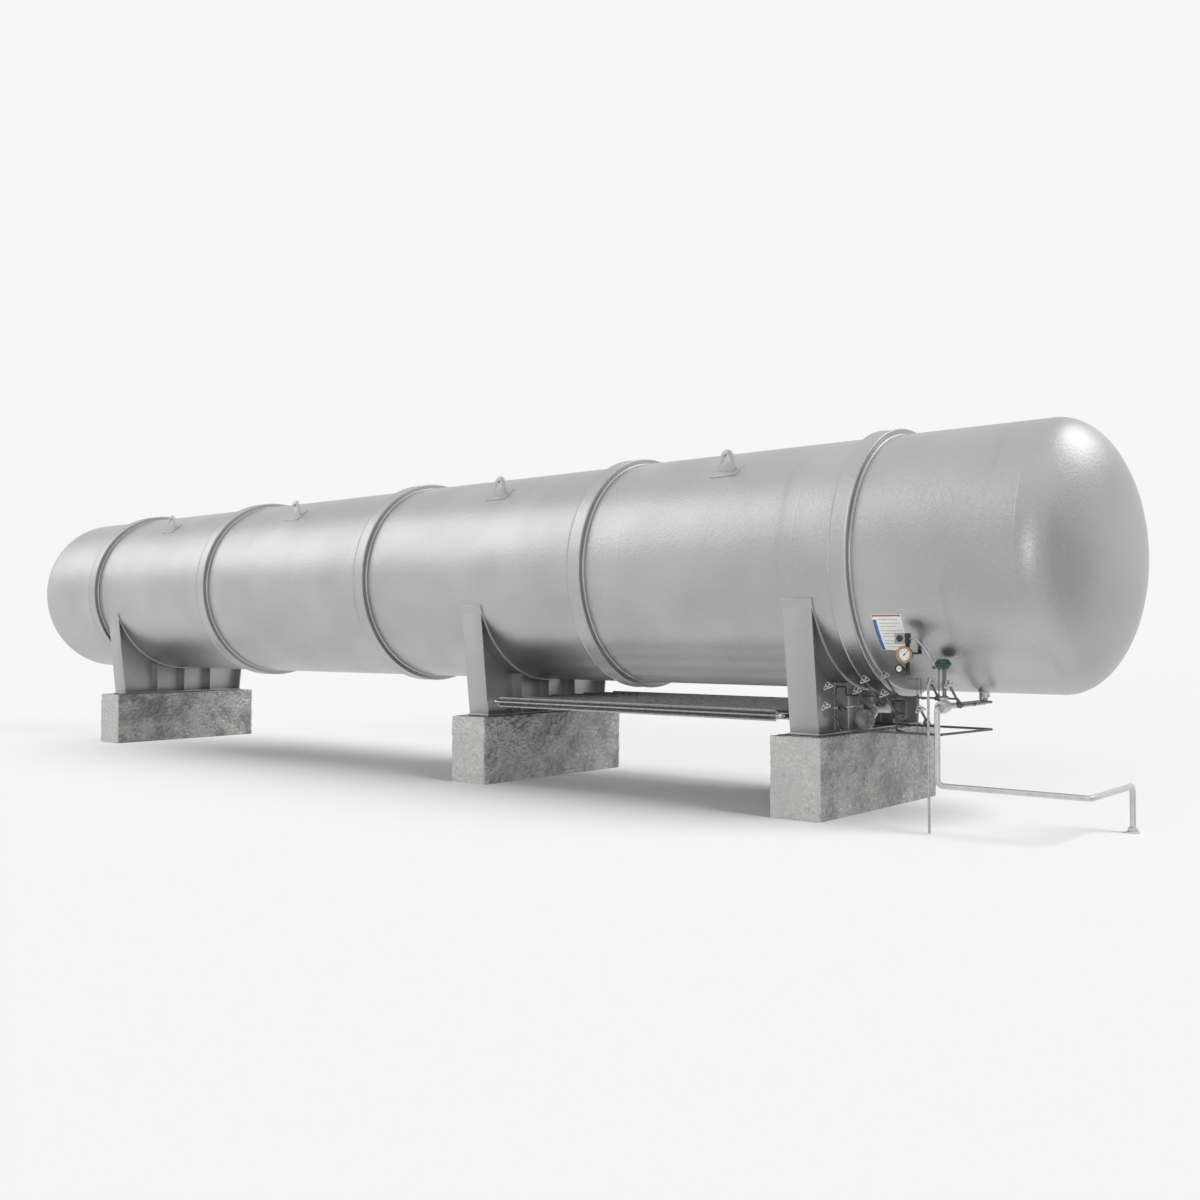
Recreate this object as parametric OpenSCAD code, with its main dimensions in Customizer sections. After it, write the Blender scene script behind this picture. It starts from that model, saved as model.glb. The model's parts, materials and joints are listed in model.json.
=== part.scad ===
// Horizontal storage tank for liquefied natural gas, on three saddles and concrete blocks,
// with its pressure-building coil and the valve bay under the near end.
// Origin on the ground under the middle of the tank, +X along the tank to the valve bay, +Z up.

/* [Jacket] */
// Outer radius of the jacket
jacket_r = 1500; // [1400:10:1600]
// Straight length of the shell between the two head seams
shell_len = 20200; // [19400:100:21000]
// Wall of the shell and of both heads
jacket_t = 12; // [8:1:20]
// Depth of each dished head
head_depth = 745; // [650:5:800]
// Clear height between the blocks and the underside of the jacket
under_gap = 488; // [430:2:560]

/* [Stiffener rings] */
// Width of a ring along the tank
ring_w = 235; // [180:5:280]
// Height of a ring over the jacket
ring_h = 75; // [40:1:90]
// Bevel of a ring's outer edges
ring_bevel = 22; // [8:1:36]

/* [Lifting lugs] */
// Angle of the lugs from the top of the jacket
lug_angle = 39; // [32:1:46]
// Width of a lug plate along the tank
lug_w = 250; // [200:5:300]
// Height of the lug hole over the jacket
lug_hole_h = 165; // [140:5:190]
// Radius of the lug hole
lug_hole_r = 28; // [20:1:36]
// Thickness of a lug plate
lug_t = 30; // [20:1:40]
// Length of a lug pad along the tank
lug_pad_len = 370; // [320:5:420]

/* [Saddles] */
// Width of a saddle frame along the tank
saddle_w = 373; // [320:1:400]
// Width of the wrapper plate along the tank
wrapper_w = 408; // [400:1:440]
// Thickness of the wrapper plate
wrapper_t = 20; // [12:1:30]
// Angle that the wrapper covers round the bottom of the jacket
wrapper_angle = 146; // [138:1:150]
// How far inside the jacket's side the saddle stands on its base plate
saddle_foot_in = 236; // [180:2:300]
// How far inside the jacket's side the saddle's end plates meet the wrapper
saddle_top_in = 80; // [60:2:96]
// Thickness of the saddle's web, ribs and end plates
saddle_t = 20; // [14:1:26]
// Thickness of the base plate on the block
base_t = 20; // [14:1:30]

/* [Concrete blocks] */
// Length of a block along the tank
block_len = 647; // [560:1:700]
// How far a block reaches past the saddle's base plate, across the tank
block_rim = 206.5; // [170:0.5:240]
// Height of a block
block_h = 932; // [880:1:960]

/* [Pressure coil] */
// Number of finned tubes side by side
coil_n = 8; // [6:1:10]
// Radius over the fins
fin_r = 67; // [50:1:75]
// Radius of the plain tube
coil_tube_r = 17; // [14:1:20]
// Thickness of a fin
fin_t = 4; // [3:0.5:6]
// Number of fins on a tube
fin_n = 8; // [6:2:8]
// Half width from the first tube to the last
coil_half_y = 1240; // [1180:5:1260]
// Height of the coil over the blocks
coil_lift = 204; // [190:1:230]

/* [Valve bay] */
// Distance from the near saddle to the main pipe
bay_len = 1595; // [1560:5:1640]
// Tilt of the valve stems over the horizontal
stem_tilt = 40; // [37:0.5:43]
// Length of the longest valve stem, body to handle
stem_len = 460; // [440:2:480]
// Distance from a handle's centre to its corner discs
handle_reach = 50; // [44:1:52]
// Radius of a handle's corner discs
handle_corner_r = 14; // [11:1:15]
// Thickness of a handle
handle_t = 12; // [8:1:14]
// Radius of the stem end that a handle turns on
stem_pin_r = 8; // [6:0.5:9]

/* [Pipes] */
// Outer radius of the main pipe
main_r = 30.15; // [26:0.05:33]
// Outer radius of the small pipes
small_r = 13.45; // [10:0.05:16]
// Outer radius of the sensing tubes
sense_r = 6; // [4:0.5:8]
// How far inside the jacket's side the drop pipe hangs
drop_in = 233; // [210:1:260]
// Height of the ground run over the ground
ground_run_z = 490; // [440:5:540]
// Radius of the round foot under the ground run
foot_r = 72; // [60:1:80]

/* [Instruments] */
// How far inside the jacket's side the gauge faces lie
gauge_in = 45; // [30:1:60]
// Radius of the level gauge
level_gauge_r = 92; // [80:1:96]
// Depth of the level gauge
level_gauge_depth = 84; // [70:1:96]
// Radius of the pressure gauge
pressure_gauge_r = 50; // [40:1:54]

/* [Hidden] */
$fn = 48;
// Facets of the big turned surfaces
big_fn = 540;
// Gap between a welded plate and the curved shell that it lies on
seat_gap = 0.3;
// Running clearance of a handle on its stem
turn_gap = 0.05;
// Axial play of a handle between its stops
end_play = 0.5;
// Overrun of every cut
cut = 40;
// Height and half width of the weld beads at the ends of a bend
bead_h = 1.2;
bead_half = 4;
// Radius of a branch as a share of the pipe that it leaves
branch_share = 0.84;

half_len = shell_len / 2;
under_z = block_h + under_gap;
axis_z = under_z + jacket_r;
seat_r = jacket_r + seat_gap;
ring_shares = [-0.81, -0.4317, 0, 0.4317, 0.81];
saddle_shares = [-0.7525, 0.2312, 0.752];
lug_shares = [-0.6277, -0.2406, 0.2406, 0.6277];
far_x = half_len * saddle_shares[0];
mid_x = half_len * saddle_shares[1];
near_x = half_len * saddle_shares[2];
main_x = near_x + bay_len;

// Stops along the dished head's curve
head_steps = 40;
head_steps_share = 1 / head_steps;

lug_top_share = 0.36;
lug_top_r = lug_w * lug_top_share;
lug_pad_t = 16;
lug_pad_angle = 10;
lug_foot_share = 0.86;

wrapper_r = seat_r + wrapper_t;
saddle_top_y = jacket_r - saddle_top_in;
saddle_foot_y = jacket_r - saddle_foot_in;
base_z = block_h + base_t;
foot_z = block_h + base_t / 2;
base_overhang = 18;
block_w = 2 * (saddle_foot_y + base_overhang + block_rim);
saddle_top_z = axis_z - sqrt(pow(wrapper_r, 2) - pow(saddle_top_y, 2));
rib_shares = [-0.4589, 0, 0.4589];
rib_y = [for (s = rib_shares) saddle_foot_y * s];

coil_z = block_h + coil_lift;
coil_pitch = 2 * coil_half_y / (coil_n - 1);
header_r = 24;
header_gap = 79;
header_off = saddle_w / 2 + header_gap;
header_x = [mid_x + header_off, near_x - header_off];
header_over = 40;
fin_start = 100;
bracket_w = 60;
bracket_rim = 16;
bracket_h = 2 * (header_r + bracket_rim);

// Valve places as shares of the bay's length, the jacket's radius and the height under the jacket
valve_x_shares = [0.2414, 0.2414, 0.3511, 0.4295, 0.5674, 0.5674, 0.8934, 0.8809, 1.138];
valve_y_shares = [0.7287, 0.7507, 0.542, 0.516, 0.536, 0.5233, 0.7507, 0.5333, 0.7953];
barrel_z_share = 0.875;
line_z_share = 0.968;
valve_z_shares = [barrel_z_share, 0.7106, 0.8634, 0.9007, 0.8239, line_z_share, 0.7972, line_z_share, 0.9394];
stem_len_shares = [0.884, 0.935, 0.75, 1, 0.87, 0.848, 0.522, 0.652, 0.783];
left = [-1, 0, 0];
right = [1, 0, 0];
front = [0, -1, 0];
back = [0, 1, 0];
down = [0, 0, -1];
up = [0, 0, 1];
valve_ports = [[left, right], [left, right], [down, left], [back, left], [back, down],
               [back, left], [down, left], [back, left], [front, back]];
valve_body_r = 30;
port_r = 21;
port_len = 46;
port_root_share = 0.5;
bonnet_r = 25;
bonnet_h = 26;
bonnet_from = 28;
stem_tube_r = 13;
gland_r = 19;
gland_h = 18;
handle_hub_r = 19;
handle_hub_h = 26;
handle_hole_r = 13;
handle_hole_share = 0.56;
handle_bar_share = 0.86;
cap_r = 12;
cap_h = 8;
stem_dir = [0, -cos(stem_tilt), sin(stem_tilt)];

main_drop = 110;
main_z = under_z - main_drop;
main_bend = 62;
nozzle_bend = 46;
nozzle_r = 50;
nozzle_h = 56;
boss_r = 20;
boss_h = 4;
ground_end_off = 650;
ground_end_x = half_len + ground_end_off;
ground_end_y = 40;
foot_h = 60;

flange_r = 117;
flange_t = 25;
barrel_r = 62;
neck_r = barrel_r * branch_share;
neck_len = 95;
knuckle_rim = 5;
flange_y_share = 0.6;
barrel_y_share = 0.4133;
flange_z_share = 0.785;
flange_y = -jacket_r * flange_y_share;
barrel_y = -jacket_r * barrel_y_share;
flange_z = under_z * flange_z_share;
drum_r = 85;
drum_h = 218;
drum_x_share = 0.53;
drum_x = near_x + bay_len * drum_x_share;
barrel_z = under_z * barrel_z_share;
drum_drop = 124;
drum_low = barrel_z - drum_drop;
drum_dish = 30;
cone_len = 125;
barrel_tail = 100;
inlet_gap = 68;
inlet_x = near_x + saddle_w / 2 + inlet_gap;

line_r = 11;
line_bend = 24;
line_y_share = 0.48;
line_y = -jacket_r * line_y_share;
line_z = under_z * line_z_share;
loop_left_off = 105;
loop_right_off = 235;
loop_left_x = near_x + loop_left_off;
loop_right_x = near_x + loop_right_off;
loop_top = 95;
loop_leg = 170;
loop_low_z = block_h + loop_leg;

low_back_share = 0.2;
low_back_y = jacket_r * low_back_share;
low_off = 40;
low_x = main_x - low_off;
low_lift = 33;
low_end_z = base_z + low_lift;
low_bend = 42;
feed_share = 0.74;
feed_x = near_x + bay_len * feed_share;

small_turn_share = 0.2333;
small_turn_y = -jacket_r * small_turn_share;
small_rise_off = 90;
small_rise_x = main_x + small_rise_off;
small_bend = 34;

drop_y = jacket_r - drop_in;
reg_half = 80;
reg_gap = 12;
reg_y = drop_y - main_bend - reg_gap - reg_half;
reg_ball_r = 76;
reg_flange_r = 62;
reg_flange_t = 18;
reg_neck_r = 34;
reg_neck_h = 96;
rod_r = 7;
rod_ring = 44;
rod_plate_rim = 5;
case_gap = 100.4;
spindle_r = 9;
case_r = 74;
case_lip_r = 88;
case_lip_h = 12;
case_h = 108;
case_edge = 18;
rod_foot_z = main_z + reg_neck_h;
case_z = shell_z(reg_y, jacket_r) - case_gap - case_h;
rod_h = case_z - rod_foot_z;

gauge_y = jacket_r - gauge_in;
riser_off = 27;
riser_behind = 36;
riser_x = main_x - riser_off;
riser_y = riser_behind - gauge_y;
riser_lift = 10;
riser_bend = 90;
riser_knee = 100;
riser_far_off = 46;
riser_far = 345;
riser_back_off = 60;
riser_back = 505;
riser_lead = 70;

gauge_x_share = 0.8245;
level_share = 0.7067;
gauge_x = near_x + bay_len * gauge_x_share;
level_z = axis_z - jacket_r * level_share;
pressure_off = 58;
pressure_drop = 150;
pressure_x = gauge_x - pressure_off;
pressure_z = level_z - pressure_drop;
pressure_depth = 46;
bezel_w = 14;
dial_deep = 12;
bar_w = 46;
bar_t = 12;
bar_low = 215;
bar_high = 225;
arm_w = 40;
arm_h = 22;
inst_w = 120;
inst_h = 115;
inst_t = 60;
inst_rise = 170;
inst_off = 46;
inst_z = level_z + inst_rise;
inst_x = gauge_x - inst_off;
disc_r = 37;
disc_t = 6;
manifold_w = 34;
manifold_h = 110;
manifold_t = 44;
knob_r = 14;
knob_h = 20;
sense_off = 10;
sense_drop = 265;
sense_x = gauge_x - sense_off;
sense_z = level_z - sense_drop;
sense_mid_share = 0.7507;
sense_far_share = 0.6867;
sense_mid_y = -jacket_r * sense_mid_share;
sense_far_y = -jacket_r * sense_far_share;
sense_bend = 24;

plate_t = 3;
plate_len = 350;
plate_off = 885;
plate_x = near_x + plate_off;
plate_low = 42.7;
plate_high = 24.9;

function unit(v) = v / norm(v);
function side_of(d) = norm([d[0], d[1]]) < 0.5 ? unit(cross(back, d)) : unit(cross(up, d));
function placed(x, y, z, at) = [for (i = [0 : 2]) [x[i], y[i], z[i], at[i]]];
function turn_len(a, b, bend) = let (c = min(a * b, 1)) bend * sqrt((1 - c) / (1 + c));
function valve_at(i) = [near_x + bay_len * valve_x_shares[i], -jacket_r * valve_y_shares[i],
                        under_z * valve_z_shares[i]];
function port_at(i, way) = valve_at(i) + way * port_len;
function handle_at(i) = valve_at(i) + stem_dir * stem_len * stem_len_shares[i];
function shell_z(y, r) = axis_z - sqrt(pow(r, 2) - pow(y, 2));

// A straight round bar from one point to another
module rod(p, q, r) {
    d = unit(q - p);
    u = side_of(d);
    multmatrix(placed(u, cross(d, u), d, p))
        cylinder(r = r, h = norm(q - p));
}

// A round bend at a corner, turning from way a to way b
module elbow(corner, a, b, r, bend) {
    n = unit(b - a * (a * b));
    at = corner - a * turn_len(a, b, bend) + n * bend;
    multmatrix(placed(-n, a, cross(-n, a), at))
        rotate_extrude(angle = acos(a * b))
            translate([bend, 0])
                circle(r = r);
}

// A weld bead round a pipe, at the end of a bend
module bead(at, way, r) {
    rod(at - way * bead_half, at + way * bead_half, r + bead_h);
}

// A pipe through the given points, with a welded round bend at every corner
module pipe_run(pts, r, bend) {
    last = len(pts) - 1;
    way = [for (i = [0 : last - 1]) unit(pts[i + 1] - pts[i])];
    trim = [for (i = [0 : last]) i == 0 || i == last ? 0 : turn_len(way[i - 1], way[i], bend)];
    short = [for (i = [0 : last]) i == 0 || i == last ? 0 : bead_half / 2];
    for (i = [0 : last - 1])
        rod(pts[i] + way[i] * (trim[i] + short[i]), pts[i + 1] - way[i] * (trim[i + 1] + short[i + 1]), r);
    for (i = [1 : 1 : last - 1]) {
        elbow(pts[i], way[i - 1], way[i], r, bend);
        bead(pts[i] - way[i - 1] * trim[i], way[i - 1], r);
        bead(pts[i] + way[i] * trim[i], way[i], r);
    }
}

// A bar along the tank's axis, used to cut what meets the jacket
module jacket_bar(r, x0, x1) {
    translate([x0, 0, axis_z])
        rotate([0, 90, 0])
            cylinder(r = r, h = x1 - x0, $fn = big_fn);
}

module jacket_shell() {
    color("#b4b6b8")
        difference() {
            jacket_bar(jacket_r, -half_len, half_len);
            jacket_bar(jacket_r - jacket_t, -half_len - cut, half_len + cut);
        }
}

// Points on the quarter ellipse of a head, from its seam to its crown
function head_curve(r, depth) = [for (i = [0 : head_steps])
    let (a = 90 * i * head_steps_share) [r * cos(a), depth * sin(a)]];

function reversed(pts) = [for (i = [len(pts) - 1 : -1 : 0]) pts[i]];

// A dished head with its seam at the origin and its crown along +Z
module head() {
    outer = head_curve(jacket_r, head_depth);
    inner = head_curve(jacket_r - jacket_t, head_depth - jacket_t);
    rotate_extrude($fn = big_fn)
        polygon(concat(outer, reversed(inner)));
}

module head_near() {
    color("#b4b6b8")
        translate([half_len, 0, axis_z])
            rotate([0, 90, 0])
                head();
}

module head_far() {
    color("#b4b6b8")
        translate([-half_len, 0, axis_z])
            rotate([0, -90, 0])
                head();
}

module stiffener_ring(i) {
    half = ring_w / 2;
    top = seat_r + ring_h;
    color("#aeb0b2")
        translate([half_len * ring_shares[i], 0, axis_z])
            rotate([0, 90, 0])
                rotate_extrude($fn = big_fn)
                    polygon([[seat_r, -half], [top - ring_bevel, -half], [top, ring_bevel - half],
                             [top, half - ring_bevel], [top - ring_bevel, half], [seat_r, half]]);
}

// One upright lug on its curved pad, on the front shoulder of the jacket
module lug() {
    at = [0, -jacket_r * sin(lug_angle), axis_z + jacket_r * cos(lug_angle)];
    difference() {
        translate(at + [0, lug_t / 2, 0])
            rotate([90, 0, 0])
                linear_extrude(lug_t)
                    difference() {
                        union() {
                            translate([0, lug_hole_h])
                                circle(r = lug_top_r);
                            polygon([[-lug_w / 2, -cut], [lug_w / 2, -cut],
                                     [lug_top_r * lug_foot_share, lug_hole_h],
                                     [-lug_top_r * lug_foot_share, lug_hole_h]]);
                        }
                        translate([0, lug_hole_h])
                            circle(r = lug_hole_r);
                    }
        jacket_bar(seat_r, -lug_pad_len, lug_pad_len);
    }
    translate([-lug_pad_len / 2, 0, axis_z])
        rotate([90, 0, 90])
            rotate([0, 0, 90 + lug_angle - lug_pad_angle / 2])
                rotate_extrude(angle = lug_pad_angle, $fn = big_fn)
                    translate([seat_r, 0])
                        square([lug_pad_t, lug_pad_len]);
}

module lifting_lugs_front() {
    color("#a8aaac")
        for (s = lug_shares)
            translate([half_len * s, 0, 0])
                lug();
}

module lifting_lugs_back() {
    color("#a8aaac")
        mirror([0, 1, 0])
            for (s = lug_shares)
                translate([half_len * s, 0, 0])
                    lug();
}

// An outline in the plane across the tank, made a plate of width w along it
module across(w) {
    translate([-w / 2, 0, 0])
        rotate([90, 0, 90])
            linear_extrude(w)
                children();
}

// The welded frame of one saddle: base plate, web, slanted end plates and ribs
module saddle_frame(x) {
    color("#9c9ea0")
        translate([x, 0, 0]) {
            translate([-saddle_w / 2 - base_overhang, -saddle_foot_y - base_overhang, block_h])
                cube([saddle_w + 2 * base_overhang, 2 * (saddle_foot_y + base_overhang), base_t]);
            difference() {
                union() {
                    across(saddle_t)
                        polygon([[-saddle_foot_y, foot_z], [saddle_foot_y, foot_z], [saddle_foot_y, base_z],
                                 [saddle_top_y, saddle_top_z], [-saddle_top_y, saddle_top_z],
                                 [-saddle_foot_y, base_z]]);
                    for (side = [-1, 1])
                        across(saddle_w)
                            polygon([[side * saddle_foot_y, foot_z], [side * (saddle_foot_y - saddle_t), foot_z],
                                     [side * (saddle_foot_y - saddle_t), base_z],
                                     [side * (saddle_top_y - saddle_t), saddle_top_z],
                                     [side * saddle_top_y, saddle_top_z], [side * saddle_foot_y, base_z]]);
                    for (y = rib_y)
                        translate([-saddle_w / 2, y - saddle_t / 2, foot_z])
                            cube([saddle_w, saddle_t, axis_z - foot_z]);
                }
                jacket_bar(wrapper_r + seat_gap, -saddle_w, saddle_w);
            }
        }
}

module saddle_far() {
    saddle_frame(far_x);
}

module saddle_middle() {
    saddle_frame(mid_x);
}

module saddle_near() {
    saddle_frame(near_x);
}

module saddle_wrappers() {
    color("#a4a6a8")
        for (x = [far_x, mid_x, near_x])
            translate([x - wrapper_w / 2, 0, axis_z])
                rotate([90, 0, 90])
                    rotate([0, 0, -90 - wrapper_angle / 2])
                        rotate_extrude(angle = wrapper_angle, $fn = big_fn)
                            translate([seat_r, 0])
                                square([wrapper_t, wrapper_w]);
}

module concrete_block(x) {
    color("#8d8b87")
        translate([x - block_len / 2, -block_w / 2, 0])
            cube([block_len, block_w, block_h]);
}

module concrete_block_far() {
    concrete_block(far_x);
}

module concrete_block_middle() {
    concrete_block(mid_x);
}

module concrete_block_near() {
    concrete_block(near_x);
}

function coil_y(i) = -coil_half_y + coil_pitch * i;

module finned_tubes() {
    color("#5a5c5f")
        for (i = [0 : coil_n - 1])
            translate([header_x[0] + header_r + seat_gap, coil_y(i), coil_z])
                rotate([90, 0, 90]) {
                    cylinder(r = coil_tube_r, h = header_x[1] - header_x[0] - 2 * (header_r + seat_gap));
                    translate([0, 0, fin_start])
                        linear_extrude(header_x[1] - header_x[0] - 2 * (header_r + fin_start))
                            for (k = [0 : fin_n / 2 - 1])
                                rotate(180 * k / (fin_n / 2))
                                    square([2 * fin_r, fin_t], center = true);
                }
}

module coil_headers() {
    color("#606265")
        for (x = header_x)
            rod([x, -coil_half_y - header_over, coil_z], [x, coil_half_y + header_over, coil_z], header_r);
}

// Brackets that carry the headers on the ribs of the two saddles
module coil_brackets() {
    edge_x = [mid_x + saddle_w / 2, near_x - saddle_w / 2];
    color("#77797b")
        for (k = [0, 1], y = rib_y)
            difference() {
                translate([min(edge_x[k], header_x[k]), y - bracket_w / 2, coil_z - bracket_h / 2])
                    cube([abs(header_x[k] - edge_x[k]), bracket_w, bracket_h]);
                rod([header_x[k], y - bracket_w, coil_z], [header_x[k], y + bracket_w, coil_z],
                    header_r + seat_gap);
            }
}

module bottom_nozzle() {
    color("#8f9193")
        difference() {
            translate([main_x, 0, under_z - nozzle_h])
                cylinder(r = nozzle_r, h = nozzle_h + cut);
            jacket_bar(seat_r, main_x - 2 * nozzle_r, main_x + 2 * nozzle_r);
        }
}

module supply_pipe() {
    color("#8a8c8e") {
        pipe_run([[main_x, 0, under_z - nozzle_h], [main_x, 0, main_z],
                  [main_x, reg_half - reg_y, main_z]], main_r, nozzle_bend);
        translate([main_x, line_y, main_z])
            cylinder(r = boss_r, h = main_r + boss_h);
    }
}

module regulator_body() {
    color("#9a9c9e")
        translate([main_x, -reg_y, main_z]) {
            difference() {
                sphere(r = reg_ball_r);
                for (side = [-1, 1])
                    translate([0, side * (reg_half - reg_flange_t + reg_ball_r), 0])
                        cube(2 * reg_ball_r, center = true);
            }
            rod([0, -reg_half, 0], [0, reg_flange_t - reg_half, 0], reg_flange_r);
            rod([0, reg_half - reg_flange_t, 0], [0, reg_half, 0], reg_flange_r);
            rod([0, -reg_half, 0], [0, reg_half, 0], main_r);
            cylinder(r = reg_neck_r, h = reg_neck_h);
        }
}

module regulator_actuator() {
    translate([main_x, -reg_y, 0]) {
        color("#6f7173") {
            for (k = [0 : 2])
                rotate(120 * k + 90)
                    translate([rod_ring, 0, rod_foot_z])
                        cylinder(r = rod_r, h = rod_h);
            translate([0, 0, rod_foot_z])
                cylinder(r = spindle_r, h = rod_h);
            translate([0, 0, rod_foot_z])
                cylinder(r = rod_ring + rod_r + rod_plate_rim, h = 2 * rod_r);
        }
        color("#1f6b3f")
            translate([0, 0, case_z])
                rotate_extrude()
                    polygon([[0, 0], [case_r - case_edge, 0], [case_r, case_edge],
                             [case_r, case_h / 2 - case_lip_h / 2], [case_lip_r, case_h / 2 - case_lip_h / 2],
                             [case_lip_r, case_h / 2 + case_lip_h / 2], [case_r, case_h / 2 + case_lip_h / 2],
                             [case_r, case_h - case_edge], [case_r - case_edge, case_h], [0, case_h]]);
    }
}

// The drop from the regulator and the run near the ground, on its round foot
module ground_run() {
    color("#8a8c8e") {
        pipe_run([[main_x, -reg_y - reg_half, main_z], [main_x, -drop_y, main_z],
                  [main_x, -drop_y, ground_run_z], [ground_end_x, -drop_y, ground_run_z],
                  [ground_end_x, ground_end_y, ground_run_z], [ground_end_x, ground_end_y, foot_h]],
                 main_r, main_bend);
        translate([ground_end_x, ground_end_y, 0])
            cylinder(r = foot_r, h = foot_h);
    }
}

module small_pipe() {
    start = port_at(8, back);
    color("#7c7e80")
        difference() {
            pipe_run([start, [start[0], small_turn_y, start[2]], [small_rise_x, small_turn_y, start[2]],
                      [small_rise_x, small_turn_y, shell_z(small_turn_y, jacket_r) + cut]], small_r, small_bend);
            jacket_bar(seat_r, small_rise_x - nozzle_r, small_rise_x + nozzle_r);
        }
}

// The dark line behind the valves, from its loop in the saddle to the main pipe
module upper_line() {
    color("#3c3e41") {
        pipe_run([[loop_left_x, line_y, loop_low_z], [loop_left_x, line_y, line_z + loop_top],
                  [loop_right_x, line_y, line_z + loop_top], [loop_right_x, line_y, line_z],
                  [main_x, line_y, line_z], [main_x, line_y, main_z + main_r + boss_h]], line_r, line_bend);
        for (i = [5, 7])
            rod(port_at(i, back), [valve_at(i)[0], line_y, line_z], line_r * branch_share);
    }
}

// The low line from the second valve round the main pipe to the near saddle
module lower_line() {
    start = port_at(1, right);
    feed = port_at(4, down);
    tee = port_at(6, down);
    color("#55575a") {
        pipe_run([start, [low_x, start[1], start[2]], [low_x, low_back_y, low_end_z],
                  [near_x + saddle_t / 2, low_back_y, low_end_z]], small_r, low_bend);
        pipe_run([feed, [feed[0], feed[1], start[2]], [feed_x, start[1], start[2]]],
                 small_r * branch_share, low_bend);
        rod(tee, [tee[0], start[1], start[2]], small_r * branch_share);
    }
}

module vent_riser() {
    end_x = inst_x + inst_w / 2 + manifold_w + seat_gap;
    color("#9b9da0")
        pipe_run([[riser_x, riser_y, riser_lift], [riser_x, riser_y, under_z + riser_knee],
                  [main_x + riser_far_off, riser_y, under_z + riser_far],
                  [main_x - riser_back_off, riser_y, under_z + riser_back],
                  [end_x + riser_lead, riser_y, inst_z], [end_x, riser_y, inst_z]], small_r, riser_bend);
}

// The bolted strainer, its barrel, its tapered inlet and the pipe from the first valve
module strainer() {
    neck_x = valve_at(2)[0];
    first = port_at(0, left);
    tip_x = neck_x - barrel_tail - cone_len;
    knuckle = [neck_x, flange_y + flange_t + neck_len, flange_z];
    color("#a9abad")
        difference() {
            union() {
                rod([neck_x, flange_y, flange_z], [neck_x, flange_y + flange_t, flange_z], flange_r);
                rod([neck_x, flange_y + flange_t, flange_z], knuckle, neck_r);
                translate(knuckle)
                    sphere(r = neck_r + knuckle_rim);
                rod(knuckle, [neck_x, barrel_y, barrel_z], neck_r);
                rod([neck_x - barrel_tail, barrel_y, barrel_z], [drum_x, barrel_y, barrel_z], barrel_r);
                translate([tip_x, barrel_y, barrel_z])
                    rotate([0, 90, 0])
                        cylinder(r1 = small_r + bead_h, r2 = barrel_r, h = cone_len);
                pipe_run([first, [inlet_x, first[1], first[2]], [inlet_x, barrel_y, barrel_z],
                          [tip_x, barrel_y, barrel_z]], small_r, small_bend);
                rod(port_at(2, down), [neck_x, valve_at(2)[1], flange_z], small_r);
                rod(port_at(3, back), [valve_at(3)[0], barrel_y, valve_at(3)[2]], small_r);
            }
            translate([drum_x, barrel_y, drum_low - cut])
                cylinder(r = drum_r + seat_gap, h = drum_h + 2 * cut);
        }
}

module sump_drum() {
    color("#66686a") {
        translate([drum_x, barrel_y, drum_low])
            rotate_extrude()
                polygon([[0, 0], [drum_r - drum_dish, 0], [drum_r, drum_dish], [drum_r, drum_h - drum_dish],
                         [drum_r - drum_dish, drum_h], [0, drum_h]]);
        rod(port_at(4, back), [valve_at(4)[0], barrel_y, valve_at(4)[2]], small_r);
    }
}

// One extended-stem valve without its handle
module valve(i) {
    reach = stem_len * stem_len_shares[i];
    low = reach - handle_hub_h / 2 - end_play;
    high = reach + handle_hub_h / 2 + end_play;
    u = right;
    translate(valve_at(i)) {
        sphere(r = valve_body_r);
        for (way = valve_ports[i])
            rod(way * valve_body_r * port_root_share, way * port_len, port_r);
        multmatrix(placed(u, cross(stem_dir, u), stem_dir, [0, 0, 0])) {
            translate([0, 0, bonnet_from])
                cylinder(r = bonnet_r, h = bonnet_h, $fn = 6);
            cylinder(r = stem_tube_r, h = low - gland_h);
            translate([0, 0, low - gland_h])
                cylinder(r = gland_r, h = gland_h, $fn = 6);
            translate([0, 0, low])
                cylinder(r = stem_pin_r, h = high - low);
            translate([0, 0, high])
                cylinder(r = cap_r, h = cap_h, $fn = 6);
        }
    }
}

module valve_bodies() {
    color("#6a6c6f")
        for (i = [0 : len(valve_x_shares) - 1])
            valve(i);
}

// A three-cornered handle with its hub on the stem
module valve_handle(i) {
    u = right;
    bar_w2 = 2 * handle_corner_r * handle_bar_share;
    color("#b3a99d")
        multmatrix(placed(u, cross(stem_dir, u), stem_dir, handle_at(i)))
            difference() {
                union() {
                    translate([0, 0, -handle_t / 2])
                        linear_extrude(handle_t)
                            difference() {
                                union() {
                                    polygon([for (k = [0 : 2]) handle_reach * [cos(120 * k), sin(120 * k)]]);
                                    for (k = [0 : 2])
                                        rotate(120 * k) {
                                            translate([handle_reach, 0])
                                                circle(r = handle_corner_r);
                                            rotate(60)
                                                translate([handle_reach / 2, 0])
                                                    square([bar_w2, handle_reach * sqrt(3)], center = true);
                                        }
                                }
                                for (k = [0 : 2])
                                    rotate(120 * k)
                                        translate([handle_reach * handle_hole_share + handle_corner_r / 2, 0])
                                            circle(r = handle_hole_r);
                            }
                    translate([0, 0, -handle_hub_h / 2])
                        cylinder(r = handle_hub_r, h = handle_hub_h);
                }
                translate([0, 0, -handle_hub_h])
                    cylinder(r = stem_pin_r + turn_gap, h = 2 * handle_hub_h);
            }
}

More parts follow.
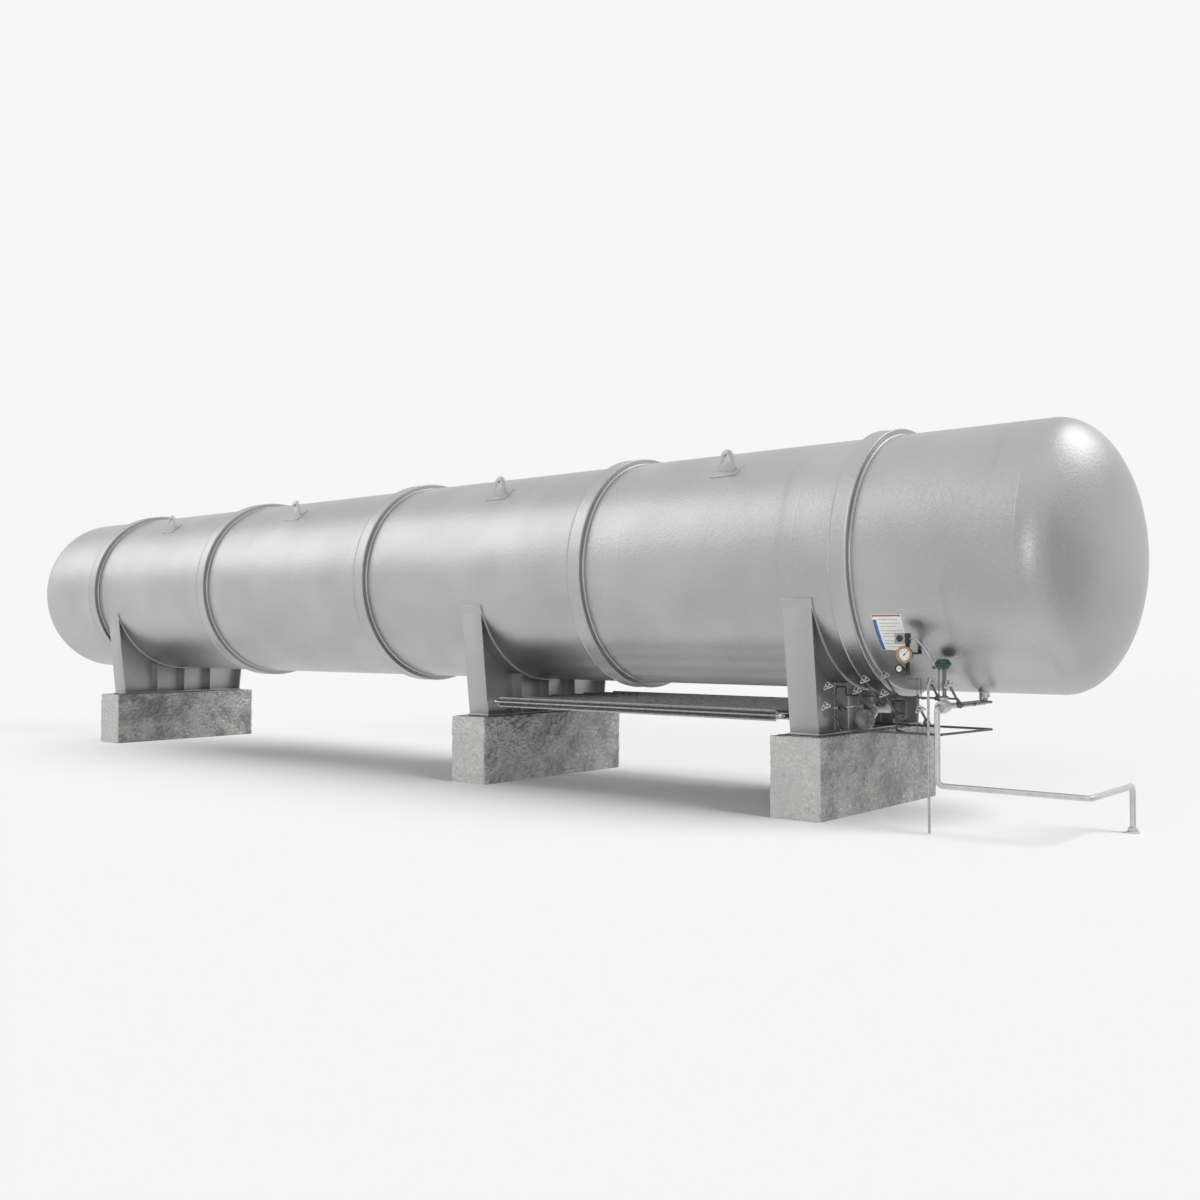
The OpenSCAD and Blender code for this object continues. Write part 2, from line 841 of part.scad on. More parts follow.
// A round gauge facing the front, with a raised bezel round its dial
module gauge(r, depth) {
    rotate([90, 0, 0])
        rotate_extrude()
            polygon([[0, 0], [r - bezel_w / 2, 0], [r, bezel_w / 2], [r, depth], [r - bezel_w, depth],
                     [r - bezel_w, depth - dial_deep], [0, depth - dial_deep]]);
}

module level_gauge() {
    color("#a9825f")
        translate([gauge_x, level_gauge_depth - gauge_y, level_z])
            gauge(level_gauge_r, level_gauge_depth);
}

module pressure_gauge() {
    color("#2a2b2d")
        translate([pressure_x, pressure_depth - gauge_y, pressure_z])
            gauge(pressure_gauge_r, pressure_depth);
}

module instrument_block() {
    front_y = -gauge_y;
    color("#8e9092") {
        translate([inst_x - inst_w / 2, front_y, inst_z - inst_h / 2])
            cube([inst_w, inst_t, inst_h]);
        translate([inst_x, front_y, inst_z])
            rotate([90, 0, 0])
                cylinder(r = disc_r, h = disc_t);
        translate([inst_x + inst_w / 2, front_y, inst_z - manifold_h / 2])
            cube([manifold_w, manifold_t + inst_t / 2, manifold_h]);
        for (side = [-1, 1])
            translate([inst_x + inst_w / 2 + manifold_w / 2, front_y, inst_z + side * manifold_h / 4])
                rotate([90, 0, 0])
                    cylinder(r = knob_r, h = knob_h);
    }
}

// The black bar behind the instruments and the arm that holds it on the jacket
module instrument_bracket() {
    bar_y = level_gauge_depth - gauge_y;
    color("#232426")
        difference() {
            union() {
                translate([gauge_x - bar_w / 2, bar_y, level_z - bar_low])
                    cube([bar_w, bar_t, bar_low + bar_high]);
                translate([gauge_x - arm_w / 2, bar_y, level_z])
                    cube([arm_w, jacket_r, arm_h]);
                translate([pressure_x, pressure_depth - gauge_y, pressure_z - arm_h / 2])
                    cube([gauge_x - pressure_x, bar_y - pressure_depth + gauge_y + bar_t, arm_h]);
                translate([inst_x, inst_t - gauge_y, inst_z - arm_h / 2])
                    cube([gauge_x - inst_x, bar_y - inst_t + gauge_y + bar_t, arm_h]);
            }
            jacket_bar(seat_r, gauge_x - bar_low, gauge_x + bar_low);
        }
}

// Thin tubes from the gauges down to the two lines
module sensing_tubes() {
    bar_y = level_gauge_depth - gauge_y;
    low = valve_at(1)[2] + small_r;
    color("#7d7f82") {
        pipe_run([[sense_x, bar_y + bar_t / 2, level_z - bar_low], [sense_x, bar_y + bar_t / 2, sense_z],
                  [sense_x, sense_far_y, sense_z], [sense_x, sense_far_y, line_z],
                  [sense_x, line_y - line_r - seat_gap, line_z]], sense_r, sense_bend);
        rod([sense_x, sense_mid_y, sense_z], [sense_x, sense_mid_y, low + seat_gap], sense_r * branch_share);
    }
}

module notice_plate() {
    color("#e6e6e2")
        translate([plate_x, 0, axis_z])
            rotate([90, 0, 90])
                rotate([0, 0, 180 + plate_high])
                    rotate_extrude(angle = plate_low - plate_high, $fn = big_fn)
                        translate([seat_r, 0])
                            square([plate_t, plate_len]);
}

jacket_shell();
head_near();
head_far();
stiffener_ring(0);  // stiffener_ring_1
stiffener_ring(1);  // stiffener_ring_2
stiffener_ring(2);  // stiffener_ring_3
stiffener_ring(3);  // stiffener_ring_4
stiffener_ring(4);  // stiffener_ring_5
lifting_lugs_front();
lifting_lugs_back();
saddle_far();
saddle_middle();
saddle_near();
saddle_wrappers();
concrete_block_far();
concrete_block_middle();
concrete_block_near();
finned_tubes();
coil_headers();
coil_brackets();
bottom_nozzle();
supply_pipe();
regulator_body();
regulator_actuator();
ground_run();
small_pipe();
upper_line();
lower_line();
vent_riser();
strainer();
sump_drum();
valve_bodies();
valve_handle(0);  // valve_handle_1
valve_handle(1);  // valve_handle_2
valve_handle(2);  // valve_handle_3
valve_handle(3);  // valve_handle_4
valve_handle(4);  // valve_handle_5
valve_handle(5);  // valve_handle_6
valve_handle(6);  // valve_handle_7
valve_handle(7);  // valve_handle_8
valve_handle(8);  // valve_handle_9
level_gauge();
pressure_gauge();
instrument_block();
instrument_bracket();
sensing_tubes();
notice_plate();
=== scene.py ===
# %% [markdown]
# A horizontal tank for liquefied natural gas, on three saddles and three concrete blocks.
# The solids were drawn to size beforehand, and they arrive here as a fixed frame: every length
# below is either measured on that frame or is a small detail with a name of its own.
# The lesson goes from the camera to the lights, the finishes, the big vessel, the supports, and
# last the small pipework under the near end.

# %% Load the frame
import json
import math

import bmesh
import bpy
from mathutils import Matrix, Vector, noise


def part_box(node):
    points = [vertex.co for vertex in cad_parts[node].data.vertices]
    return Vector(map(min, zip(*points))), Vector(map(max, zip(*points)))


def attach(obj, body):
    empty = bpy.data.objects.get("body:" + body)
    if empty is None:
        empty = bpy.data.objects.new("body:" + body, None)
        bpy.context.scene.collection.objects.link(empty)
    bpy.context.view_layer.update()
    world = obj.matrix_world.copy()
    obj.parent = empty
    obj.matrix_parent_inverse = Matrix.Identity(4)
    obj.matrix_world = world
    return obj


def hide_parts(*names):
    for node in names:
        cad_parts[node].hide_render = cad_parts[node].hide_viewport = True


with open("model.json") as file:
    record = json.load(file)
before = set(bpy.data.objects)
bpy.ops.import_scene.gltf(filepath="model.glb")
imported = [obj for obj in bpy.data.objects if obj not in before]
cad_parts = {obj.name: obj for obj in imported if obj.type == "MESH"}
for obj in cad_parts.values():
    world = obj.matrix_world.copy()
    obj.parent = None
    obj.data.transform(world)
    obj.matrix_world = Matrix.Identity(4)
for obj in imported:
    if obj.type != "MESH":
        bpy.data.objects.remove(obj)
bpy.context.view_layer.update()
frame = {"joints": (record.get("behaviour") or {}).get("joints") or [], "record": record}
scene = bpy.context.scene

# %% [markdown]
# Sizes that many pieces share are read from the boxes of the solids, so the dress always fits
# the body. The shell's box gives the radius, the axis height and the half length; the joints give
# the middle of each valve handle and the slant that all the stems have.

# %% Measure the frame
def span(node):
    """Lowest corner, highest corner and middle of one solid."""
    low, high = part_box(node)
    return low, high, (low + high) / 2


shell_low, shell_high, shell_mid = span("jacket_shell")
JACKET_R = (shell_high.z - shell_low.z) / 2
AXIS_Z = shell_mid.z
HALF_LEN = shell_high.x
UNDER_Z = shell_low.z
HEAD_DEPTH = span("head_near")[1].x - HALF_LEN
STEM_WAY = Vector(frame["joints"][0]["axis"]).normalized()
print("jacket radius", round(JACKET_R, 3), "axis height", round(AXIS_Z, 3), "half length", round(HALF_LEN, 3))

# %% [markdown]
# The photograph was taken from a little over eye level near the valve end, with a normal lens and
# no shift. Solving for the rings, lugs and blocks gave the place and the two turns used here.
# A camera made in code needs only its place, its turns and the lens, so no constraint is used.

# %% Set the camera
CAMERA_AT = (14.675, -13.257, 2.064)
CAMERA_YAW = 40.115
CAMERA_PITCH = 1.667
LENS_MM = 36.3
SENSOR_MM = 36.0
FAR_CLIP = 900

lens = bpy.data.cameras.new("photo_camera")
lens.sensor_width = SENSOR_MM
lens.lens = LENS_MM
lens.clip_end = FAR_CLIP
camera = bpy.data.objects.new("photo_camera", lens)
camera.location = CAMERA_AT
camera.rotation_euler = (math.radians(90 + CAMERA_PITCH), 0, math.radians(CAMERA_YAW))
scene.collection.objects.link(camera)
scene.camera = camera
scene.view_settings.view_transform = "Standard"
print("camera at", CAMERA_AT)

# %% [markdown]
# Shaders are written as sums here. The class below holds one output socket; arithmetic with two of
# them lays the Math nodes, and `add` lays any other node: its settings first and then what goes into
# its sockets. That keeps a finish readable as a formula. The geometry trees further down use it too.

# %% A socket that can be calculated with
class Field:
    """An output socket of a node tree, with arithmetic."""

    def __init__(self, tree, socket=None):
        self.tree = tree
        self.socket = socket

    def feed(self, value, target):
        if isinstance(value, list):
            for one in value:
                self.feed(one, target)
        elif isinstance(value, Field):
            self.tree.links.new(value.socket, target)
        else:
            target.default_value = value

    def add(self, kind, settings=None, sockets=None, out=0):
        """Lay a node of this kind, set it up, fill its sockets and give back one output."""
        node = self.tree.nodes.new(kind if kind.startswith("GeometryNode") else "ShaderNode" + kind)
        for name, value in (settings or {}).items():
            setattr(node, name, value)
        for name, value in (sockets or {}).items():
            self.feed(value, node.inputs[name])
        return Field(self.tree, node.outputs[out])

    def math(self, operation, first, second):
        return self.add("Math", {"operation": operation}, {0: first, 1: second})

    def __add__(self, other):
        return self.math("ADD", self, other)

    def __radd__(self, other):
        return self.math("ADD", other, self)

    def __sub__(self, other):
        return self.math("SUBTRACT", self, other)

    def __rsub__(self, other):
        return self.math("SUBTRACT", other, self)

    def __mul__(self, other):
        return self.math("MULTIPLY", self, other)

    def __rmul__(self, other):
        return self.math("MULTIPLY", other, self)

    def __truediv__(self, other):
        return self.math("DIVIDE", self, other)

    def __rtruediv__(self, other):
        return self.math("DIVIDE", other, self)

    def __lt__(self, other):
        return self.math("LESS_THAN", self, other)

    def __gt__(self, other):
        return self.math("GREATER_THAN", self, other)


print("shader fields ready")

# %% [markdown]
# The studio is a plain dome of soft light with five soft suns. Suns light the whole floor evenly, where
# a near lamp would leave a bright pool. Two of them light only matt surfaces: the key, high beyond the
# near end, draws the shadow on the floor, and a low fill comes from the front. The other three, from
# the back, the left and the front, make only highlights. To the camera the dome shows one pale grey,
# the colour of the floor in full light, so the floor has no visible edge and keeps only the shadow of
# the tank. Metal needs something to mirror, so in reflections the dome is brighter above, below and
# towards the far end, and dimmer beyond the near end.

# %% Light the studio
PALE = 0.93
SUNS = {
    "key_sun": {"strength": 3.40, "spread": 38, "from": (0.79, 0.14, 0.60), "gloss": False},
    "front_fill": {"strength": 1.25, "spread": 60, "from": (0.30, -0.90, 0.12), "gloss": False},
    "back_sun": {"strength": 0.50, "spread": 30, "from": (0.35, 0.63, 0.70), "gloss": True},
    "left_sun": {"strength": 0.40, "spread": 38, "from": (-0.74, -0.42, 0.54), "gloss": True},
    "front_sun": {"strength": 0.17, "spread": 16, "from": (0.38, -0.92, 0.08), "gloss": True},
}
DIM_WAY = Vector((1.0, -0.05, -0.05)).normalized()
DIM_FADE = (0.72, 0.98)
DIM_SHARE = 0.32
GLOW_WAY = Vector((-0.90, -0.42, 0.0)).normalized()
GLOW_FADE = (0.70, 0.99)
GLOW_SHARE = 0.28
POLE_FADE = (0.45, 0.90)
POLE_SHARE = 0.26
SPILL = 0.035

matt_suns = [sun for sun in SUNS.values() if not sun["gloss"]]
sun_share = sum(sun["strength"] * Vector(sun["from"]).normalized().z for sun in matt_suns) / math.pi
dome_light = 1 - sun_share - SPILL

world = bpy.data.worlds.new("studio_dome")
world.use_nodes = True
scene.world = world
dome = Field(world.node_tree)
background = world.node_tree.nodes["Background"]
seen = dome.add("LightPath", out="Is Camera Ray")
mirrored = dome.add("LightPath", out="Is Glossy Ray")
through = dome.add("LightPath", out="Is Transmission Ray")
shown = dome.math("MINIMUM", seen + mirrored + through, 1.0)
way = dome.add("TexCoord", out="Generated")


def towards(target, fade):
    """One in the middle of a patch of the dome round this way, zero outside it."""
    facing = dome.add("VectorMath", {"operation": "DOT_PRODUCT"}, {0: way, 1: target}, out="Value")
    return dome.add("MapRange", {"interpolation_type": "SMOOTHSTEP"},
                    {"Value": facing, "From Min": fade[0], "From Max": fade[1]})


poles = towards((0, 0, 1), POLE_FADE) + towards((0, 0, -1), POLE_FADE)
uneven = poles * POLE_SHARE + towards(GLOW_WAY, GLOW_FADE) * GLOW_SHARE
uneven = uneven - towards(DIM_WAY, DIM_FADE) * DIM_SHARE
background.inputs["Color"].default_value = (1, 1, 1, 1)
strength = shown * PALE * (1 + mirrored * uneven) + (1 - shown) * dome_light
dome.feed(strength, background.inputs["Strength"])

for sun_name, sun in SUNS.items():
    lamp = bpy.data.lights.new(sun_name, "SUN")
    lamp.energy = sun["strength"]
    lamp.angle = math.radians(sun["spread"])
    holder = bpy.data.objects.new(sun_name, lamp)
    holder.rotation_euler = Vector(sun["from"]).to_track_quat("Z", "Y").to_euler()
    holder.visible_diffuse = not sun["gloss"]
    holder.visible_glossy = sun["gloss"]
    scene.collection.objects.link(holder)
    print(sun_name, "from", sun["from"])

# %% [markdown]
# The floor is one big square. Towards the far end a growing part of its brightness is its own, like a
# table lit from below, so the shadow fades there as it does in the photograph. Metal does not mirror
# the floor, so the belly of the tank shows the dome instead of its own shadow.

# %% Lay the floor
FLOOR_HALF = 420
OWN_LIGHT_X = (-3.2, -10.0)
OWN_LIGHT_MOST = 0.9

floor_mesh = bpy.data.meshes.new("floor")
corners = [(x * FLOOR_HALF, y * FLOOR_HALF, 0) for x, y in ((-1, -1), (1, -1), (1, 1), (-1, 1))]
floor_mesh.from_pydata(corners, [], [(0, 1, 2, 3)])
floor = bpy.data.objects.new("floor", floor_mesh)
floor.visible_glossy = False
scene.collection.objects.link(floor)
floor_paint = bpy.data.materials.new("pale_floor")
floor_paint.use_nodes = True
floor_shader = floor_paint.node_tree.nodes["Principled BSDF"]
ground = Field(floor_paint.node_tree)
along = ground.add("SeparateXYZ", None, {0: ground.add("TexCoord", out="Object")}, out="X")
own_light = ground.add("MapRange", {"interpolation_type": "SMOOTHSTEP"},
                       {"Value": along, "From Min": OWN_LIGHT_X[0], "From Max": OWN_LIGHT_X[1],
                        "To Max": OWN_LIGHT_MOST})
ground.feed((1 - own_light) * PALE, floor_shader.inputs["Base Color"])
ground.feed(own_light * PALE, floor_shader.inputs["Emission Color"])
floor_shader.inputs["Emission Strength"].default_value = 1.0
floor_shader.inputs["Roughness"].default_value = 1.0
floor_shader.inputs["Specular IOR Level"].default_value = 0.0
floor_mesh.materials.append(floor_paint)
print("floor laid, half width", FLOOR_HALF)

# %% [markdown]
# Every finish starts from the same few moves: a cloud of noise at a real size, a ramp that turns
# the cloud into patches, a blend of two colours, and a relief that tilts the normal. All patterns
# read Object coordinates in metres, so a grain of 6 mm is 6 mm on every piece, big or small.

# %% Moves that the finishes share
NOISE_ROUGHNESS = 0.55


def start_finish(name, metallic, roughness):
    """A new material, its shader and a field at the object's own coordinates."""
    material = bpy.data.materials.new(name)
    material.use_nodes = True
    shader = material.node_tree.nodes["Principled BSDF"]
    shader.inputs["Metallic"].default_value = metallic
    shader.inputs["Roughness"].default_value = roughness
    place = Field(material.node_tree).add("TexCoord", out="Object")
    return material, shader, place


def grey(level, warm=0.0):
    """A grey with a little warmth: red up, blue down."""
    return (level * (1 + warm), level, level * (1 - warm), 1)


def stretched(place, factors):
    return place.add("VectorMath", {"operation": "MULTIPLY"}, {0: place, 1: factors})


def cloud(place, size, detail=3.0):
    """Noise with patches of this size in metres."""
    return place.add("TexNoise", None, {"Vector": place, "Scale": 1 / size, "Detail": detail,
                                        "Roughness": NOISE_ROUGHNESS})


def patches(value, start, end):
    """Zero below start, one above end, smooth between."""
    return value.add("MapRange", {"interpolation_type": "SMOOTHSTEP"},
                     {"Value": value, "From Min": start, "From Max": end})


def blend(mask, under, over):
    return mask.add("Mix", {"data_type": "RGBA"}, {0: mask, 6: under, 7: over}, out=2)


def relief(height, depth, below=None):
    """A bump of this depth in metres, laid over another one."""
    sockets = {"Height": height, "Strength": 1.0, "Distance": depth}
    if below is not None:
        sockets["Normal"] = below
    return height.add("Bump", None, sockets)


def apply_finish(shader, place, colour=None, roughness=None, normal=None):
    for name, value in (("Base Color", colour), ("Roughness", roughness), ("Normal", normal)):
        if value is not None:
            place.feed(value, shader.inputs[name])


finishes = {}
print("finish helpers ready")

# %% [markdown]
# The vessel has a satin aluminium paint, sprayed on plate that is never quite flat. Three reliefs
# give that: slow waves of the plate, a hammered ripple of a few centimetres that breaks up the
# highlights, and the fine grain of the paint. Long faint runs of grime follow the slope downwards.
# The saddles have the same paint, a shade darker and less metallic, and their colour grows darker
# towards the blocks.

# %% Satin paint of the vessel and the saddles
WAVE_SIZE, WAVE_DEPTH = 0.9, 0.010
HAMMER_SIZE, HAMMER_STRETCH = 0.030, (0.7, 1, 1)
GRAIN_SIZE, GRAIN_DEPTH = 0.012, 0.0016
RUN_SIZE, RUN_STRETCH = 0.22, (1, 0.16, 0.16)
DARKEN_TALL = 0.9
DARKEN_MOST = 0.16


def satin_paint(name, light, dark, metallic, roughness, ripple, darken_from_z=None):
    material, shader, place = start_finish(name, metallic, roughness)
    waves = cloud(place, WAVE_SIZE, 1.0)
    hammer = cloud(stretched(place, HAMMER_STRETCH), HAMMER_SIZE, 2.0)
    grain = cloud(place, GRAIN_SIZE, 2.0)
    runs = cloud(stretched(place, RUN_STRETCH), RUN_SIZE)
    grime = patches(runs, 0.58, 0.84) * 0.3
    tone = patches(waves * 0.55 + hammer * 0.25 + grain * 0.20, 0.30, 0.70)
    colour = blend(grime, blend(tone, grey(dark), grey(light)), grey(dark * 0.72, 0.02))
    if darken_from_z:
        # Lower down, the saddle paint is made darker, most of all near the blocks.
        height = place.add("SeparateXYZ", None, {0: place}, out="Z")
        darkening = 1 - patches(height + (waves - 0.5) * 0.3, darken_from_z - DARKEN_TALL, darken_from_z)
        colour = blend(darkening * DARKEN_MOST, colour, grey(dark * 0.45, 0.01))
    polish = roughness + (hammer - 0.5) * 0.16 + (grain - 0.5) * 0.12 + grime * 0.12
    normal = relief(waves, WAVE_DEPTH)
    normal = relief(hammer, ripple, normal)
    normal = relief(grain, GRAIN_DEPTH, normal)
    apply_finish(shader, place, colour, polish, normal)
    finishes[name] = material


satin_paint("jacket_paint", light=0.42, dark=0.36, metallic=0.94, roughness=0.33, ripple=0.0026)
satin_paint("saddle_paint", light=0.43, dark=0.37, metallic=0.90, roughness=0.38, ripple=0.0020,
            darken_from_z=AXIS_Z - JACKET_R * 0.45)
print("paints:", sorted(finishes))

# %% [markdown]
# The blocks are old cast concrete with a hard, almost glazed skin, mottled in broad light and dark
# patches. The ends are painted paler as lit faces, and the long sides keep a darker base as shaded
# ones. The mesh carries the lumps that break the outline; the finish adds what is smaller: dents the
# size of a thumb, lumps that are strong in some patches and faint in others, sand grain, pits painted
# dark as shade in their hollows, and darker damp near the ground. Where a lump turns up it gets a
# painted highlight and where it turns down painted shade, which the noise gives when it is compared
# with itself a little higher.

# %% Weathered concrete
LUMP_SIZE, LUMP_STRETCH, LUMP_DEPTH = 0.045, (1, 0.6, 0.8), 0.055
LUMP_SHIFT = (0.006, -0.006, 0.014)
DENTS_PER_M, DENT_DEPTH = 13.0, 0.014
SAND_SIZE, SAND_DEPTH = 0.012, 0.0022
PIT_SIZE, PIT_DEPTH = 0.034, 0.004
PATCH_SIZE = 0.40
LIT_END_FADE = (0.045, 0.012)
BLOCK_END = span("concrete_block_near")[1].y


def concrete_finish():
    material, shader, place = start_finish("concrete", 0.40, 0.3)
    shader.inputs["Specular IOR Level"].default_value = 0.75
    height = place.add("SeparateXYZ", None, {0: place}, out="Z")
    from_middle = place.math("ABSOLUTE", place.add("SeparateXYZ", None, {0: place}, out="Y"), 0)
    # Painted light: the end faces are made paler than the long sides, which keep a darker base as painted
    # shade.
    ends = patches(from_middle, BLOCK_END - LIT_END_FADE[0], BLOCK_END - LIT_END_FADE[1])
    lumps = cloud(stretched(place, LUMP_STRETCH), LUMP_SIZE, 2.0)
    raised = place.add("VectorMath", {"operation": "ADD"}, {0: place, 1: LUMP_SHIFT})
    upturned = lumps - cloud(stretched(raised, LUMP_STRETCH), LUMP_SIZE, 2.0)
    dents = place.add("TexVoronoi", {"feature": "SMOOTH_F1"},
                      {"Vector": place, "Scale": DENTS_PER_M, "Smoothness": 0.6}, out="Distance")
    sand = cloud(place, SAND_SIZE, 2.0)
    broad = cloud(place, PATCH_SIZE)
    rough = (0.30 + patches(broad, 0.40, 0.62) * 0.70) * (1 - ends * 0.4)
    pits = patches(cloud(place, PIT_SIZE, 1.0), 0.70, 0.78)
    damp = patches(broad - height * 0.25, 0.30, 0.62)
    tone = patches(lumps * 0.22 + broad * 0.66 + sand * 0.12, 0.38, 0.62)
    colour = blend(tone, grey(0.155, 0.02), grey(0.37, 0.01))
    # Painted highlight where a lump turns up, painted shade where it turns down.
    painted_lump_highlight = patches(upturned, 0.08, 0.25) * rough
    painted_lump_shade = patches(0 - upturned, 0.06, 0.26) * rough
    # Paler ends, lump highlight and lump shade are painted light; the pits are painted dark as shade in their
    # hollows; damp near the ground is a stain.
    for mask, most, shade in ((ends, 0.72, grey(0.56, 0.01)), (painted_lump_highlight, 0.65, grey(0.92, 0.005)),
                              (painted_lump_shade, 0.40, grey(0.10, 0.02)), (damp, 0.15, grey(0.18, 0.02)),
                              (pits, 0.45, grey(0.12, 0.03))):
        colour = blend(mask * most, colour, shade)
    skin = 0.26 + (sand - 0.5) * 0.24 + pits * 0.3 + damp * 0.05
    normal = relief(lumps * rough, LUMP_DEPTH)
    normal = relief(dents, DENT_DEPTH, normal)
    normal = relief(sand, SAND_DEPTH, normal)
    normal = relief(1 - pits, PIT_DEPTH, normal)
    apply_finish(shader, place, colour, skin, normal)
    finishes["concrete"] = material


concrete_finish()
print("concrete ready")

# %% [markdown]
# The pipework is many metals with the same wear: a base, brighter or darker blotches, fine
# scratches along nothing in particular, and grime or rust that gathers in patches. One recipe with
# named strengths therefore serves all of them; the settings tell the metals apart.

# %% Metals, castings and paints of the pipework
BLOTCH_SIZE = 0.06
SCRATCH_SIZE, SCRATCH_DEPTH = 0.0035, 0.0005
CASTING_SIZE = 0.016
RUST_SIZE = 0.045
RUST_DARK, RUST_LIGHT = (0.075, 0.032, 0.016, 1), (0.21, 0.085, 0.035, 1)
RUST_ROUGHNESS = 0.88


def worn_metal(name, base, metallic, roughness, spread, rust=0.0, cast=0.0, soot=False):
    material, shader, place = start_finish(name, metallic, roughness)
    blotch = cloud(place, BLOTCH_SIZE, 4.0)
    grain = cloud(place, SCRATCH_SIZE, 2.0)
    tone = patches(blotch * 0.6 + grain * 0.4, 0.32, 0.68)
    dark = tuple(c * (1 - spread) for c in base) + (1,)
    light = tuple(min(1.0, c * (1 + spread)) for c in base) + (1,)
    colour = blend(tone, dark, light)
    if rust:
        rusty = patches(cloud(place, RUST_SIZE, 5.0), 0.62 - rust * 0.3, 0.78 - rust * 0.3)
        colour = blend(rusty, colour, blend(grain, RUST_DARK, RUST_LIGHT))
        place.feed((1 - rusty) * metallic, shader.inputs["Metallic"])
        roughness = roughness + rusty * (RUST_ROUGHNESS - roughness)
    # Painted shade: faces marked in the mesh, the walls of a handle's holes, go near black.
    if soot:
        hole_shaded = place.add("Attribute", {"attribute_name": "soot"}, out="Fac")
        colour = blend(hole_shaded, colour, grey(0.02))
    polish = roughness + (blotch - 0.5) * 0.22 + (grain - 0.5) * 0.14
    normal = relief(grain, SCRATCH_DEPTH)
    if cast:
        normal = relief(cloud(place, CASTING_SIZE), cast, normal)
    apply_finish(shader, place, colour, polish, normal)
    finishes[name] = material


# In order: name, base colour, metallic, roughness, spread of the tone
worn_metal("fin_aluminium", (0.35, 0.355, 0.36), 0.92, 0.30, 0.16)
worn_metal("coil_steel", (0.20, 0.203, 0.21), 0.70, 0.45, 0.25, rust=0.10)
worn_metal("pipe_paint", (0.52, 0.525, 0.53), 0.80, 0.34, 0.12)
worn_metal("cast_paint", (0.54, 0.545, 0.55), 0.70, 0.40, 0.14, cast=0.0016)
worn_metal("regulator_green", (0.010, 0.080, 0.040), 0.0, 0.36, 0.22, cast=0.0008)
worn_metal("stainless", (0.38, 0.383, 0.388), 0.95, 0.28, 0.20)
worn_metal("tube_steel", (0.17, 0.172, 0.176), 0.90, 0.32, 0.24)
worn_metal("dark_pipe", (0.085, 0.087, 0.092), 0.55, 0.45, 0.30, rust=0.06)
worn_metal("valve_steel", (0.105, 0.105, 0.107), 0.85, 0.34, 0.30, rust=0.12, cast=0.0008)
worn_metal("handle_paint", (0.46, 0.435, 0.40), 0.25, 0.46, 0.14, rust=0.02, soot=True)
worn_metal("gauge_bronze", (0.36, 0.235, 0.145), 0.85, 0.36, 0.22)
worn_metal("instrument_black", (0.022, 0.022, 0.024), 0.0, 0.40, 0.30, cast=0.0004)
worn_metal("instrument_grey", (0.30, 0.305, 0.31), 0.10, 0.46, 0.10)
worn_metal("rusty_steel", (0.22, 0.16, 0.12), 0.60, 0.60, 0.25, rust=0.42)
print("metals:", len(finishes))

# %% [markdown]
# The dials and the notice are printed sheets: near white with a faint soiling, and a clear coat
# that stands in for the pane over a dial. The bands on the notice are plain colour and carry no
# words.

# %% Printed sheets
def printed_sheet(name, colour, coat):
    material, shader, place = start_finish(name, 0.0, 0.45)
    soil = patches(cloud(place, 0.03, 4.0), 0.45, 0.85)
    dirty = tuple(c * 0.84 for c in colour) + (1,)
    apply_finish(shader, place, blend(soil, colour + (1,), dirty), 0.38 + soil * 0.25, relief(soil, 0.0002))
    shader.inputs["Coat Weight"].default_value = coat
    finishes[name] = material


printed_sheet("notice_sheet", (0.80, 0.80, 0.79), 0.2)
printed_sheet("dial_white", (0.82, 0.82, 0.80), 0.7)
printed_sheet("band_red", (0.50, 0.05, 0.045), 0.2)
printed_sheet("band_blue", (0.045, 0.12, 0.36), 0.2)
print("finishes:", ", ".join(sorted(finishes)))

# %% [markdown]
# A few mould-like helpers make almost all the shapes. `lathe` turns a profile round an axis, and `rod`
# is its simplest use. Each helper adds its faces to one growing mesh, so a sub-part of many bits still
# ends as one clean piece.

# %% Turned shapes
UP = Vector((0, 0, 1))
ALONG = Vector((1, 0, 0))
FRONT = Vector((0, -1, 0))
TINY = 1e-7
HEX = 6


def aim(at, way):
    """A place whose own Z points this way."""
    return Matrix.Translation(at) @ Vector(way).to_track_quat("Z", "Y").to_matrix().to_4x4()


def lathe(shape, profile, place, sides=32, closed=False):
    """Turn pairs of radius and height round the place's own Z."""
    rings = []
    for radius, height in profile:
        count = 1 if radius < TINY else sides
        turns = [2 * math.pi * k / count for k in range(count)]
        rings.append([shape.verts.new(place @ Vector((radius * math.cos(t), radius * math.sin(t), height)))
                      for t in turns])
    pairs = list(zip(rings, rings[1:]))
    if closed:
        pairs.append((rings[-1], rings[0]))
    for low, high in pairs:
        for k in range(sides):
            steps = ((low, k), (low, k + 1), (high, k + 1), (high, k))
            corners = list(dict.fromkeys(ring[step % len(ring)] for ring, step in steps))
            if len(corners) > 2:
                shape.faces.new(corners)


def rod(shape, start, end, radius, sides=24, edge=0.0015):
    """A round bar, or a nut with six sides, with softened ends."""
    start = Vector(start)
    way = Vector(end) - start
    long = way.length
    edge = min(edge, radius / 3, long / 3)
    profile = [(0, 0), (radius - edge, 0), (radius, edge),
               (radius, long - edge), (radius - edge, long), (0, long)]
    lathe(shape, profile, aim(start, way), sides)


print("turning helpers ready")

# %% [markdown]
# Flat work is cut from sheet on a real tank. `slab` is a box with softened edges, and `cut_plate` lets a
# flat curve fill an outline with its holes and bevel the rim. Booleans could cut the holes too, but they
# leave ragged faces that no bevel likes.

